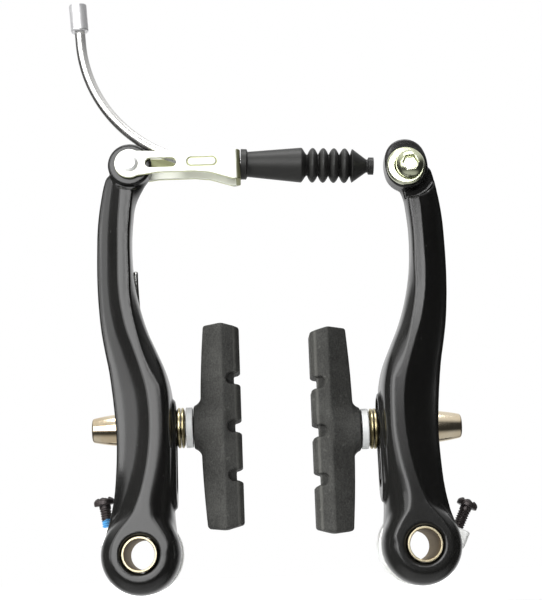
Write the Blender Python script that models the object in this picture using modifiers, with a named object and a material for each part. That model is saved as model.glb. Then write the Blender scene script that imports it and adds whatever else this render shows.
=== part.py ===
"""Linear-pull rim brake: two forged arms on brass bushings, pads on threaded posts,
a pinned link with a bent cable guide tube and rubber boot, and the cable clamp.

Metres, +Z up. The origin lies midway between the two pivots, on the frame's boss shoulders.
The front of the brake faces -Y, and the left arm is at -X.
"""
import bpy
import bmesh
from collections import namedtuple
from math import cos, pi, radians, sin
from mathutils import Matrix, Vector

MM = 0.001
GAP = 0.3 * MM
SLIM_GAP = 0.2 * MM
SIDES = {"left": -1.0, "right": 1.0}
OVERRUN = 2.0 * MM

# Pivot, bushing and knuckle
PIVOT_X = 38.0 * MM
STUD_BORE_RADIUS = 4.1 * MM
BUSHING_WALL = 0.65 * MM
BUSHING_LENGTH = 25.0 * MM
KNUCKLE_RADIUS = 10.9 * MM
KNUCKLE_FACE_RADIUS = 6.9 * MM
KNUCKLE_DOME_DEPTH = 8.0 * MM
KNUCKLE_FRONT = -24.6 * MM
KNUCKLE_CHAMFER = 0.5 * MM
BUSHING_RADIUS = STUD_BORE_RADIUS + BUSHING_WALL
ARM_BORE_RADIUS = BUSHING_RADIUS + SLIM_GAP

# Return spring
WIRE_RADIUS = 0.65 * MM
COIL_RADIUS = 6.9 * MM
COIL_TURNS = 2
COIL_PITCH = 1.55 * MM
COIL_LENGTH = COIL_TURNS * COIL_PITCH + 2 * WIRE_RADIUS
SPRING_STOP_RADIUS = 0.8 * MM
SPRING_STOP_PROUD = 0.8 * MM
SPRING_STOP_SEAT = 3.0 * MM
SPRING_STOP_DROP = 2.2 * MM

# Spring holder behind the knuckle, deep enough for the coil, and its screw
HOLDER_REAR = -0.5 * MM
HOLDER_FLOOR = 1.2 * MM
HOLDER_RIM_GAP = 0.4 * MM
HOLDER_RADIUS = 10.9 * MM
HOLDER_WALL = 1.4 * MM
ARM_BACK = HOLDER_REAR - HOLDER_FLOOR - GAP - COIL_LENGTH - SLIM_GAP
HOLDER_FRONT = ARM_BACK + HOLDER_RIM_GAP
HOLDER_DEPTH = HOLDER_REAR - HOLDER_FRONT
LEG_NOTCH_START = 2.0 * MM
HOLDER_TURN = {"left": -8.5, "right": -26.0}
SCREW_OFFSET = 8.8 * MM
SCREW_RADIUS = 1.5 * MM
SCREW_DEPTH = -3.2 * MM
SCREW_TIP = 5.6 * MM
SCREW_HEAD_BASE = 15.7 * MM
SCREW_HEAD_RADIUS = 3.05 * MM
SCREW_HEAD_HEIGHT = 2.3 * MM
RECESS_DEPTH = 0.5 * MM
RECESS_REACH = 1.7 * MM
RECESS_HALF_WIDTH = 0.85 * MM
LUG_START = 4.2 * MM
LUG_END = 9.4 * MM
LUG_INNER = 5.6 * MM
LUG_OUTER = 12.3 * MM
BOSS_PIN_RADIUS = 1.3 * MM
BOSS_PIN_REACH = 3.5 * MM
BOSS_PIN_ORBIT = 7.6 * MM

# Arm blade and head
HEAD_HEIGHT = 107.5 * MM
HEAD_OFFSET = 0.9 * MM
HEAD_RADIUS = 6.1 * MM
HEAD_MIDDLE = -20.4 * MM
HEAD_THICKNESS = 6.4 * MM
HEAD_EDGE = 0.9 * MM
BACK_CORNER = 1.3 * MM
FLANK_DIP = 0.45 * MM
HEAD_FRONT = HEAD_MIDDLE - HEAD_THICKNESS / 2
HEAD_BACK = HEAD_MIDDLE + HEAD_THICKNESS / 2
HEAD_X = PIVOT_X + HEAD_OFFSET

# Height is a share of the pivot to head distance. The rest is in millimetres: outer and inner
# edge and crest across from the pivot, half the crest's width, and depths from the shoulder.
Station = namedtuple("Station", "height outer inner crest half front edge")
STATIONS = [
    Station(0.025, 9.7, -9.7, 0.0, 6.1, -24.4, -15.8),
    Station(0.060, 9.2, -9.3, 0.1, 4.3, -24.4, -16.3),
    Station(0.095, 8.2, -9.0, 0.0, 2.3, -24.3, -17.2),
    Station(0.140, 7.1, -9.0, -0.8, 1.0, -24.2, -18.6),
    Station(0.205, 6.3, -9.1, -2.4, 0.55, -24.1, -19.9),
    Station(0.280, 6.0, -9.3, -3.6, 0.5, -24.1, -20.3),
    Station(0.350, 6.4, -9.2, -3.8, 0.5, -24.1, -20.4),
    Station(0.415, 7.1, -8.8, -3.1, 0.6, -24.1, -20.4),
    Station(0.465, 7.8, -7.5, -1.8, 0.8, -24.1, -20.5),
    Station(0.515, 8.8, -5.3, -0.3, 1.1, -24.1, -20.6),
    Station(0.560, 9.6, -3.2, 1.0, 1.5, -24.1, -20.7),
    Station(0.640, 10.4, -0.6, 2.6, 1.7, -24.2, -20.8),
    Station(0.770, 10.6, 1.0, 2.7, 2.0, -24.3, -20.9),
    Station(0.850, 10.2, 0.6, 2.5, 2.0, -24.3, -21.0),
    Station(0.905, 9.4, -0.4, 2.1, 1.9, -24.2, -21.2),
    Station(0.925, 9.0, -1.2, 1.9, 1.9, -23.1, -21.4),
    Station(0.960, 8.1, -3.4, 1.5, 2.4, -22.9, -21.8),
    Station(0.985, 7.2, -4.8, 1.2, 2.8, -22.8, -22.0),
]
BACK_SHARES = [
    (0.0, 0.06), (0.44, 0.06), (0.52, 2.6), (0.60, 5.6), (0.70, 7.9), (0.85, 9.6), (0.94, 10.7), (1.0, 10.8),
]

# Slot, seats and pocket for the pad post
SLOT_HEIGHT = 28.5 * MM
POST_TRAVEL = 8.9 * MM
POST_RADIUS = 3.0 * MM
POST_DEPTH = -13.0 * MM
POST_FIT = 0.3 * MM
SEAT_OFFSET = -9.9 * MM
SEAT_HALF_WIDTH = 5.2 * MM
SEAT_HALF_LENGTH = 16.3 * MM
SEAT_ROOT = 4.0 * MM
POCKET_OFFSET = 1.6 * MM
POCKET_FLARE = 0.5 * MM
POCKET_OPENING = 25.0
SEAT_X = PIVOT_X + SEAT_OFFSET
POCKET_X = PIVOT_X + POCKET_OFFSET

# Washers, spacer, nut
WASHER_RADIUS = 5.6 * MM
WASHER_HOLE = POST_RADIUS + POST_FIT
CUP_THICKNESS = 1.1 * MM
DOME_THICKNESS = 0.9 * MM
WASHER_EDGE = 0.35 * MM
SPACER_THICKNESS = 1.9 * MM
NUT_ROOT_RADIUS = 4.45 * MM
NUT_END_RADIUS = 3.3 * MM
NUT_LENGTH = 8.6 * MM
NUT_EDGE = 0.35 * MM
NUT_FLANGE = 1.2 * MM
NUT_TAPER_START = 1.9 * MM
NUT_SOCKET_RADIUS = 2.3 * MM
NUT_SOCKET_DEPTH = 3.2 * MM

# Pad
PAD_HEIGHT = {"left": 34.3 * MM, "right": 32.3 * MM}
PAD_LENGTH = 56.8 * MM
PAD_THICKNESS = 10.0 * MM
PAD_BULGE = 1.2 * MM
PAD_FACE_HALF_WIDTH = 4.25 * MM
PAD_EDGE_HALF_WIDTH = 5.5 * MM
PAD_EDGE_DEPTH = 1.3 * MM
PAD_RIDGE_HALF_WIDTH = 6.3 * MM
PAD_BACK_HALF_WIDTH = 3.7 * MM
PAD_RIDGE_SHARE = 0.5
PAD_BOSS_RADIUS = 5.9 * MM
PAD_BOSS_HEIGHT = 2.0 * MM
PAD_END_CROWN = 0.9 * MM
GROOVE_PITCH = 13.3 * MM
GROOVE_WIDTH = 3.4 * MM
GROOVE_DEPTH = 1.8 * MM
NOTCH_DEPTH = 4.0 * MM
NOTCH_REACH = 2.6 * MM
INSERT_LENGTH = 40.0 * MM
INSERT_WIDTH = 6.0 * MM
INSERT_THICKNESS = 1.6 * MM
INSERT_COVER = 3.0 * MM

# Link
LINK_REACH = 30.0 * MM
SHEET = 1.0 * MM
LINK_END_RADIUS = 4.1 * MM
LINK_TOP = 3.3 * MM
LINK_WAIST = 2.7 * MM
LINK_WAIST_START = 8.0 * MM
LINK_WAIST_END = 18.5 * MM
LINK_MOUTH = 3.6 * MM
LINK_MOUTH_REACH = 5.0 * MM
FLANGE_BOTTOM = 5.2 * MM
LINK_CORNER = 1.6 * MM
LINK_END_OPENING = 60.0
LINK_SLOT_HEIGHT = 2.7 * MM
LINK_SLOTS = [(4.5 * MM, 13.1 * MM), (15.9 * MM, 24.6 * MM)]
PIN_RADIUS = 1.75 * MM
PIN_HEAD_RADIUS = 2.4 * MM
PIN_HEAD_HEIGHT = 0.55 * MM
LINK_INNER_FACE = HEAD_THICKNESS / 2 + GAP
LINK_OUTER_FACE = LINK_INNER_FACE + SHEET
PIN_X = -HEAD_X
FLANGE_X = PIN_X + LINK_REACH

# Noodle
NOODLE_RADIUS = 1.5 * MM
NOODLE_BORE = 1.15 * MM
NOODLE_BEND_RADIUS = 40.0 * MM
NOODLE_BEND_ANGLE = 86.0
NOODLE_STRAIGHT = 3.4 * MM
NOODLE_LEAD = 1.4 * MM
LINER_RADIUS = 0.95 * MM
LINER_BORE = 0.6 * MM
TIP_COLLAR_RADIUS = 2.3 * MM
TIP_COLLAR_LENGTH = 2.2 * MM
TIP_NECK_RADIUS = 1.9 * MM
TIP_NOSE_RADIUS = 1.2 * MM
TIP_REACH = 5.0 * MM
FERRULE_RADIUS = 2.5 * MM
FERRULE_LENGTH = 8.0 * MM
FERRULE_BORE = 2.0 * MM
FERRULE_FLOOR = 2.5 * MM

# Boot
BOOT_TILT = 2.6
BOOT_GAP = 0.4 * MM
BOOT_COLLAR_LENGTH = 1.4 * MM
BOOT_BARREL_LENGTH = 17.0 * MM
BOOT_RIDGES = 4
BOOT_RIDGE_EDGE = 0.55 * MM
BOOT_CONE_LENGTH = 4.2 * MM
BOOT_CONE_END_RADIUS = 1.85 * MM
BOOT_LIP_RADIUS = 2.45 * MM
BOOT_LIP_LENGTH = 1.5 * MM
BOOT_RIDGE_PITCH = 3.0 * MM
BOOT_RIDGE_RADIUS = 4.9 * MM
BOOT_GROOVE_RADIUS = 2.95 * MM
BOOT_COLLAR_RADIUS = 4.3 * MM
BOOT_NECK_RADIUS = 3.55 * MM
BOOT_BARREL_RADIUS = 4.95 * MM
BOOT_BORE = 1.2 * MM
BOOT_MOUTH_BORE = 2.6 * MM

# Cable clamp
CLAMP_DROP = 3.1 * MM
CLAMP_WASHER_RADIUS = 5.4 * MM
CLAMP_WASHER_THICKNESS = 1.5 * MM
CLAMP_BOLT_RADIUS = 2.5 * MM
CLAMP_HEAD_RADIUS = 3.9 * MM
CLAMP_HEAD_HEIGHT = 3.4 * MM
CLAMP_BOLT_BACK = -14.5 * MM
CLAMP_SOCKET_RADIUS = 2.3 * MM
CLAMP_SOCKET_DEPTH = 2.0 * MM
CLAMP_HEIGHT = HEAD_HEIGHT - CLAMP_DROP

FRONT = Vector((0.0, -1.0, 0.0))
ROUND = 24
SMALL_ROUND = 16
KNUCKLE_ROUND = 32
WASHER_ROUND = 20


# Scene, materials and helpers

for old in list(bpy.data.objects):
    bpy.data.objects.remove(old)

parts = bpy.data.collections.new("v_brake")
cutters = bpy.data.collections.new("cutters")
bpy.context.scene.collection.children.link(parts)
bpy.context.scene.collection.children.link(cutters)


def material(name, colour, roughness, metallic):
    made = bpy.data.materials.new(name)
    made.use_nodes = True
    shader = made.node_tree.nodes["Principled BSDF"]
    shader.inputs["Base Color"].default_value = (*colour, 1.0)
    shader.inputs["Roughness"].default_value = roughness
    shader.inputs["Metallic"].default_value = metallic
    made.diffuse_color = (*colour, 1.0)
    return made


BLACK_ARM = material("black_anodised_arm", (0.014, 0.014, 0.014), 0.35, 0.6)
BRASS = material("brass_bushing", (0.62, 0.47, 0.25), 0.3, 1.0)
ZINC = material("bright_zinc", (0.78, 0.79, 0.76), 0.28, 1.0)
YELLOW_ZINC = material("yellow_zinc", (0.8, 0.76, 0.5), 0.3, 1.0)
GOLD_NUT = material("champagne_nut", (0.72, 0.56, 0.4), 0.28, 1.0)
SPACER_GREY = material("spacer_grey", (0.7, 0.71, 0.7), 0.5, 0.8)
RUBBER = material("pad_rubber", (0.045, 0.045, 0.042), 0.75, 0.0)
BOOT_RUBBER = material("boot_rubber", (0.02, 0.02, 0.02), 0.55, 0.0)
STEEL = material("polished_steel", (0.62, 0.62, 0.6), 0.2, 1.0)
BLACK_OXIDE = material("black_oxide", (0.02, 0.02, 0.02), 0.4, 0.8)
LINER_WHITE = material("white_liner", (0.85, 0.85, 0.83), 0.4, 0.0)


def add(name, mesh, look=None):
    """A new object: a part when it has a material, otherwise a cutter."""
    made = bpy.data.objects.new(name, mesh)
    if look is None:
        cutters.objects.link(made)
        made.hide_render = True
        made.display_type = "WIRE"
    else:
        parts.objects.link(made)
        mesh.materials.append(look)
    return made


def smooth(mesh, angle=35.0):
    mesh.shade_smooth()
    mesh.set_sharp_from_angle(angle=radians(angle))


def face_direction(direction):
    """The rotation that turns local +Z towards the direction."""
    return Vector(direction).to_track_quat("Z", "Y")


def turned(name, profile, base, direction, look=None, ring=False, segments=ROUND):
    """A turned solid. The profile is (radius, height) pairs, top to bottom on the outer side."""
    mesh = bpy.data.meshes.new(name)
    points = [(radius, 0.0, height) for radius, height in profile]
    edges = [(i, i + 1) for i in range(len(points) - 1)]
    if ring:
        edges.append((len(points) - 1, 0))
    mesh.from_pydata(points, edges, [])
    made = add(name, mesh, look)
    screw = made.modifiers.new("turn", "SCREW")
    screw.steps = segments
    screw.render_steps = segments
    screw.use_merge_vertices = True
    screw.merge_threshold = 0.00001
    screw.use_smooth_shade = True
    made.location = base
    made.rotation_mode = "QUATERNION"
    made.rotation_quaternion = face_direction(direction)
    return made


def rod(name, start, end, radius, look=None, segments=ROUND, end_radius=None):
    """A straight round or many-sided bar from start to end."""
    start = Vector(start)
    end = Vector(end)
    length = (end - start).length
    body = bmesh.new()
    bmesh.ops.create_cone(
        body, cap_ends=True, segments=segments, depth=length,
        radius1=radius, radius2=radius if end_radius is None else end_radius,
    )
    bmesh.ops.translate(body, verts=body.verts, vec=(0.0, 0.0, length / 2))
    mesh = bpy.data.meshes.new(name)
    body.to_mesh(mesh)
    body.free()
    smooth(mesh)
    made = add(name, mesh, look)
    made.location = start
    made.rotation_mode = "QUATERNION"
    made.rotation_quaternion = face_direction(end - start)
    return made


def block(name, low, high, look=None):
    body = bmesh.new()
    bmesh.ops.create_cube(body, size=1.0)
    low = Vector(low)
    high = Vector(high)
    size = high - low
    bmesh.ops.scale(body, vec=(abs(size.x), abs(size.y), abs(size.z)), verts=body.verts)
    bmesh.ops.translate(body, vec=(low + high) / 2, verts=body.verts)
    mesh = bpy.data.meshes.new(name)
    body.to_mesh(mesh)
    body.free()
    return add(name, mesh, look)


def mesh_from_curve(curve_object, look=None):
    """Replaces a curve object by a closed mesh object of the same name."""
    bpy.context.view_layer.update()
    depsgraph = bpy.context.evaluated_depsgraph_get()
    mesh = bpy.data.meshes.new_from_object(curve_object.evaluated_get(depsgraph))
    body = bmesh.new()
    body.from_mesh(mesh)
    bmesh.ops.remove_doubles(body, verts=body.verts, dist=0.000005)
    bmesh.ops.recalc_face_normals(body, faces=body.faces)
    body.to_mesh(mesh)
    body.free()
    mesh.materials.clear()
    name = curve_object.name
    place = curve_object.matrix_world.copy()
    bpy.data.objects.remove(curve_object)
    made = add(name, mesh, look)
    made.matrix_world = place
    return made


def prism(name, outline, middle, thickness, normal, look=None):
    """A flat outline extruded both ways along the normal.

    The outline is (y, z) pairs with normal X, (x, z) with normal Y and (x, y) with normal Z.
    """
    curve = bpy.data.curves.new(name, "CURVE")
    curve.dimensions = "2D"
    curve.fill_mode = "BOTH"
    curve.extrude = thickness / 2
    spline = curve.splines.new("POLY")
    spline.points.add(len(outline) - 1)
    for point, (across, up) in zip(spline.points, outline):
        point.co = (across, up, 0.0, 1.0)
    spline.use_cyclic_u = True
    made = bpy.data.objects.new(name, curve)
    parts.objects.link(made)
    if normal == "X":
        turn = Matrix(((0.0, 0.0, 1.0), (1.0, 0.0, 0.0), (0.0, 1.0, 0.0))).to_4x4()
        made.matrix_world = Matrix.Translation((middle, 0.0, 0.0)) @ turn
    elif normal == "Y":
        made.matrix_world = Matrix.Translation((0.0, middle, 0.0)) @ Matrix.Rotation(pi / 2, 4, "X")
    else:
        made.matrix_world = Matrix.Translation((0.0, 0.0, middle))
    return mesh_from_curve(made, look)


def tube(name, points, radius, look=None, resolution=2):
    """A round bar along a smooth run of points."""
    curve = bpy.data.curves.new(name, "CURVE")
    curve.dimensions = "3D"
    curve.bevel_depth = radius
    curve.bevel_resolution = resolution
    curve.use_fill_caps = True
    spline = curve.splines.new("POLY")
    spline.points.add(len(points) - 1)
    for point, place in zip(spline.points, points):
        point.co = (*place, 1.0)
    made = bpy.data.objects.new(name, curve)
    parts.objects.link(made)
    made = mesh_from_curve(made, look)
    smooth(made.data, 50.0)
    return made


def loft(name, sections, look=None):
    """A closed skin through rings of equally many points."""
    body = bmesh.new()
    rings = [[body.verts.new(point) for point in section] for section in sections]
    for low, high in zip(rings, rings[1:]):
        for i in range(len(low)):
            j = (i + 1) % len(low)
            body.faces.new((low[i], low[j], high[j], high[i]))
    body.faces.new(rings[0])
    body.faces.new(rings[-1])
    bmesh.ops.recalc_face_normals(body, faces=body.faces)
    mesh = bpy.data.meshes.new(name)
    body.to_mesh(mesh)
    body.free()
    return add(name, mesh, look)


def combine(target, other, operation):
    """Joins, cuts or intersects the target by the other object, which stays as a hidden guide."""
    step = target.modifiers.new(other.name, "BOOLEAN")
    step.operation = operation
    step.solver = "EXACT"
    step.object = other
    return target


def cut(target, *others):
    for other in others:
        combine(target, other, "DIFFERENCE")


def join(target, *others):
    for other in others:
        combine(target, other, "UNION")


def weld(target):
    """Closes the hairline seams that a cut can leave."""
    step = target.modifiers.new("weld", "WELD")
    step.merge_threshold = 0.002 * MM


def move_origin(target, origin):
    """Puts the object's origin on a joint axis and leaves its shape where it is."""
    target.data.transform(Matrix.Translation(-Vector(origin)) @ target.matrix_world)
    target.matrix_world = Matrix.Translation(origin)


def arc(centre, radius, start, end, steps):
    """Points on an arc. Angles are in degrees, counter-clockwise."""
    found = []
    for i in range(steps + 1):
        angle = radians(start + (end - start) * i / steps)
        found.append((centre[0] + radius * cos(angle), centre[1] + radius * sin(angle)))
    return found


def along_table(table, share):
    """Straight-line reading of a table of (share, value) pairs."""
    for (low, first), (high, last) in zip(table, table[1:]):
        if share <= high:
            return first + (last - first) * (share - low) / (high - low)
    return table[-1][1]


# Bushings, spring holders, screws

def make_bushing(side, sign):
    half = [
        (STUD_BORE_RADIUS + 0.25 * MM, BUSHING_LENGTH),
        (BUSHING_RADIUS - 0.1 * MM, BUSHING_LENGTH),
        (BUSHING_RADIUS, BUSHING_LENGTH - 0.2 * MM),
        (BUSHING_RADIUS, 0.0),
        (STUD_BORE_RADIUS, 0.0),
        (STUD_BORE_RADIUS, BUSHING_LENGTH - 0.3 * MM),
    ]
    turned(
        side + "_bushing", half, (sign * PIVOT_X, 0.0, 0.0), FRONT, BRASS, ring=True, segments=KNUCKLE_ROUND,
    )


def holder_point(side, sign, along, outward, depth):
    """A point of the holder, measured along its screw and outward from the pivot."""
    turn = radians(HOLDER_TURN[side])
    across = outward * cos(turn) - along * sin(turn)
    up = outward * sin(turn) + along * cos(turn)
    return Vector((sign * (PIVOT_X + across), depth, up))


def boss_pin_place(side, sign):
    """The pin's place on the holder floor, on the side away from the screw."""
    return holder_point(side, sign, 0.0, -BOSS_PIN_ORBIT, HOLDER_REAR)


def make_holder(side, sign):
    name = side + "_spring_holder"
    floor = HOLDER_FLOOR
    depth = HOLDER_DEPTH
    wall = HOLDER_RADIUS - HOLDER_WALL
    profile = [
        (wall, depth),
        (HOLDER_RADIUS, depth),
        (HOLDER_RADIUS, 0.0),
        (BUSHING_RADIUS + SLIM_GAP, 0.0),
        (BUSHING_RADIUS + SLIM_GAP, floor),
        (wall, floor),
    ]
    cup = turned(name, profile, (sign * PIVOT_X, HOLDER_REAR, 0.0), FRONT, ZINC, ring=True)

    outline = []
    corners = [(LUG_START, LUG_INNER), (LUG_START, LUG_OUTER), (LUG_END, LUG_OUTER), (LUG_END, LUG_INNER)]
    for along, outward in corners:
        place = holder_point(side, sign, along, outward, 0.0)
        outline.append((place.x, place.z))
    lug_middle = (HOLDER_REAR + HOLDER_FRONT) / 2
    lug = prism(name + "_lug", outline, lug_middle, HOLDER_DEPTH - 0.2 * MM, "Y")
    join(cup, lug)

    screw_hole = rod(
        name + "_screw_hole",
        holder_point(side, sign, LUG_START - 2.5 * MM, SCREW_OFFSET, SCREW_DEPTH),
        holder_point(side, sign, LUG_END + OVERRUN, SCREW_OFFSET, SCREW_DEPTH),
        SCREW_RADIUS + SLIM_GAP, segments=SMALL_ROUND,
    )
    coil_space = rod(
        name + "_coil_space",
        (sign * PIVOT_X, HOLDER_REAR - floor, 0.0),
        (sign * PIVOT_X, HOLDER_FRONT - OVERRUN, 0.0),
        wall - 0.05 * MM,
    )
    leg_x = sign * (PIVOT_X - COIL_RADIUS)
    notch_half = WIRE_RADIUS + GAP
    leg_notch = block(
        name + "_leg_notch",
        (leg_x - notch_half, HOLDER_REAR - floor - GAP, LEG_NOTCH_START),
        (leg_x + notch_half, HOLDER_FRONT - OVERRUN, HOLDER_RADIUS + OVERRUN),
    )
    pin = boss_pin_place(side, sign)
    pin_hole = rod(
        name + "_pin_hole", pin + Vector((0.0, OVERRUN, 0.0)), pin - Vector((0.0, floor + OVERRUN, 0.0)),
        BOSS_PIN_RADIUS + SLIM_GAP, segments=SMALL_ROUND,
    )
    cut(cup, coil_space, screw_hole, leg_notch, pin_hole)

    rod(
        side + "_boss_pin",
        pin + Vector((0.0, -HOLDER_REAR + BOSS_PIN_REACH, 0.0)),
        pin - Vector((0.0, floor, 0.0)),
        BOSS_PIN_RADIUS, STEEL, segments=SMALL_ROUND,
    )


def make_tension_screw(side, sign):
    name = side + "_tension_screw"
    tip = holder_point(side, sign, SCREW_TIP, SCREW_OFFSET, SCREW_DEPTH)
    head_base = holder_point(side, sign, SCREW_HEAD_BASE, SCREW_OFFSET, SCREW_DEPTH)
    length = (head_base - tip).length
    top = length + SCREW_HEAD_HEIGHT
    profile = [
        (0.0, top),
        (SCREW_HEAD_RADIUS * 0.45, top - 0.1 * MM),
        (SCREW_HEAD_RADIUS * 0.8, top - 0.55 * MM),
        (SCREW_HEAD_RADIUS, top - 1.4 * MM),
        (SCREW_HEAD_RADIUS, length),
        (SCREW_RADIUS, length),
        (SCREW_RADIUS, 0.4 * MM),
        (SCREW_RADIUS - 0.4 * MM, 0.0),
        (0.0, 0.0),
    ]
    screw = turned(name, profile, tip, head_base - tip, BLACK_OXIDE, segments=SMALL_ROUND)
    axis = (head_base - tip).normalized()
    crown = tip + axis * top
    sideways = axis.cross(FRONT).normalized()
    for label, direction in (("a", sideways), ("b", FRONT)):
        half = direction * RECESS_REACH
        floor = crown - axis * RECESS_DEPTH
        arm_of_cross = rod(
            name + "_recess_" + label, floor - half, floor + half, RECESS_HALF_WIDTH, segments=4,
        )
        cut(screw, arm_of_cross)


# Return spring

def spring_route(sign):
    """Coil inside the holder, then the long leg up the back of the arm."""
    steps = 12
    first_depth = HOLDER_REAR - HOLDER_FLOOR - GAP - WIRE_RADIUS
    count = COIL_TURNS * steps
    points = []
    for i in range(count + 1):
        angle = pi + 2 * pi * i / steps
        depth = first_depth - COIL_PITCH * i / steps
        across = COIL_RADIUS * cos(angle)
        up = -COIL_RADIUS * sin(angle)
        points.append((sign * (PIVOT_X + across), depth, up))
    start_x = PIVOT_X - COIL_RADIUS
    leave = points[-1][1]
    end_x = PIVOT_X + 0.4 * MM
    bend_start = BACK_SHARES[1][0] * HEAD_HEIGHT
    top = 0.735 * HEAD_HEIGHT
    leg_steps = 13
    behind = GAP + WIRE_RADIUS + 0.1 * MM
    for i in range(1, leg_steps + 1):
        height = top * i / leg_steps
        share = height / top
        across = start_x + (end_x - start_x) * (3 * share ** 2 - 2 * share ** 3)
        depth = leave
        if height > bend_start - 10.0 * MM:
            back = ARM_BACK - along_table(BACK_SHARES, height / HEAD_HEIGHT) * MM
            depth = min(leave, back + behind)
        points.append((sign * across, depth, height))
    return points


def make_spring(side, sign):
    route = spring_route(sign)
    tube(side + "_spring", route, WIRE_RADIUS, STEEL, resolution=1)
    return route[-1]


# Arms

def blade_sections(sign):
    """Rings across the blade: a narrow crest in front, sloped flanks, a flat back."""
    sections = []
    for height, outer, inner, crest, half, front, edge in STATIONS:
        back = ARM_BACK / MM - along_table(BACK_SHARES, height)
        corner = BACK_CORNER / MM
        dip = FLANK_DIP / MM
        outer_mid = (crest + half + outer) / 2
        inner_mid = (crest - half + inner) / 2
        mid_depth = (front + edge) / 2 + dip
        ring = [
            (crest - half, front), (crest + half, front), (outer_mid, mid_depth),
            (outer - 0.6, edge - 0.1), (outer, edge + 0.7), (outer, back - corner),
            (outer - corner, back), (inner + corner, back),
            (inner, back - corner), (inner, edge + 0.7), (inner + 0.35, edge - 0.2), (inner_mid, mid_depth),
        ]
        level = height * HEAD_HEIGHT
        sections.append([(sign * (PIVOT_X + u * MM), y * MM, level) for u, y in ring])
    return sections


def oblong(name, low_x, high_x, half_width, half_length, open_back=None):
    """A round-ended bar across the arm at the slot, long in Z. It may run on out of the arm's back."""
    straight = half_length - half_width
    low = (POST_DEPTH, SLOT_HEIGHT - straight)
    high = (POST_DEPTH, SLOT_HEIGHT + straight)
    if open_back is None:
        outline = arc(low, half_width, 180.0, 360.0, 10) + arc(high, half_width, 0.0, 180.0, 10)
    else:
        lower = arc(low, half_width, 180.0, 360.0 - POCKET_OPENING, 9)
        upper = arc(high, half_width, POCKET_OPENING, 180.0, 9)
        outline = lower + [(open_back, lower[-1][1] - POCKET_FLARE), (open_back, upper[0][1] + POCKET_FLARE)]
        outline += upper
    return prism(name, outline, (low_x + high_x) / 2, abs(high_x - low_x), "X")


def make_arm(side, sign):
    name = side + "_arm"
    pivot = Vector((sign * PIVOT_X, 0.0, 0.0))
    arm = loft(name, blade_sections(sign), BLACK_ARM)

    dome = [(ARM_BORE_RADIUS * 0.5, -KNUCKLE_FRONT), (KNUCKLE_FACE_RADIUS, -KNUCKLE_FRONT)]
    for i in range(1, 6):
        angle = pi / 2 * i / 5
        reach = KNUCKLE_RADIUS - KNUCKLE_FACE_RADIUS
        radius = KNUCKLE_FACE_RADIUS + reach * sin(angle)
        dome.append((radius, -KNUCKLE_FRONT - KNUCKLE_DOME_DEPTH * (1 - cos(angle))))
    dome += [
        (KNUCKLE_RADIUS, -ARM_BACK + 0.5 * MM),
        (KNUCKLE_RADIUS - 0.5 * MM, -ARM_BACK),
        (ARM_BORE_RADIUS * 0.5, -ARM_BACK),
    ]
    knuckle = turned(name + "_knuckle", dome, pivot, FRONT, ring=True, segments=KNUCKLE_ROUND)

    head_profile = [
        (0.0, HEAD_THICKNESS),
        (HEAD_RADIUS - HEAD_EDGE, HEAD_THICKNESS),
        (HEAD_RADIUS - 0.25 * HEAD_EDGE, HEAD_THICKNESS - 0.25 * HEAD_EDGE),
        (HEAD_RADIUS, HEAD_THICKNESS - HEAD_EDGE),
        (HEAD_RADIUS, HEAD_EDGE),
        (HEAD_RADIUS - HEAD_EDGE, 0.0),
        (0.0, 0.0),
    ]
    head = turned(
        name + "_head", head_profile, (sign * HEAD_X, HEAD_BACK, HEAD_HEIGHT), FRONT, segments=ROUND,
    )
    seat = oblong(
        name + "_seat", sign * SEAT_X, sign * (SEAT_X + SEAT_ROOT), SEAT_HALF_WIDTH, SEAT_HALF_LENGTH,
    )
    join(arm, knuckle, head, seat)

    bore = rod(name + "_bore", (pivot.x, OVERRUN, 0.0), (pivot.x, KNUCKLE_FRONT - OVERRUN, 0.0), ARM_BORE_RADIUS,
               segments=KNUCKLE_ROUND)
    rim = rod(
        name + "_bore_rim", (pivot.x, KNUCKLE_FRONT - 0.1 * MM, 0.0),
        (pivot.x, KNUCKLE_FRONT + KNUCKLE_CHAMFER, 0.0),
        ARM_BORE_RADIUS + KNUCKLE_CHAMFER + 0.1 * MM, end_radius=ARM_BORE_RADIUS - 0.05 * MM,
        segments=KNUCKLE_ROUND,
    )
    outside = sign * (PIVOT_X + KNUCKLE_RADIUS + OVERRUN)
    slot_half = POST_RADIUS + POST_FIT
    slot = oblong(
        name + "_slot", sign * (SEAT_X - OVERRUN), outside, slot_half, slot_half + POST_TRAVEL + 0.1 * MM,
    )
    pocket_half = WASHER_RADIUS + GAP
    pocket = oblong(
        name + "_pocket", sign * POCKET_X, outside, pocket_half, pocket_half + POST_TRAVEL + SLIM_GAP,
        open_back=ARM_BACK + OVERRUN,
    )
    cut(arm, bore, rim, slot, pocket)

    if side == "left":
        head_hole = (PIN_RADIUS + GAP, HEAD_HEIGHT, HEAD_X)
    else:
        head_hole = (CLAMP_BOLT_RADIUS + GAP, CLAMP_HEIGHT, HEAD_X)
    radius, height, across = head_hole
    hole = rod(
        name + "_head_hole", (sign * across, HEAD_BACK + OVERRUN, height),
        (sign * across, HEAD_FRONT - OVERRUN, height), radius, segments=SMALL_ROUND,
    )
    cut(arm, hole)
    weld(arm)
    return arm


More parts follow.
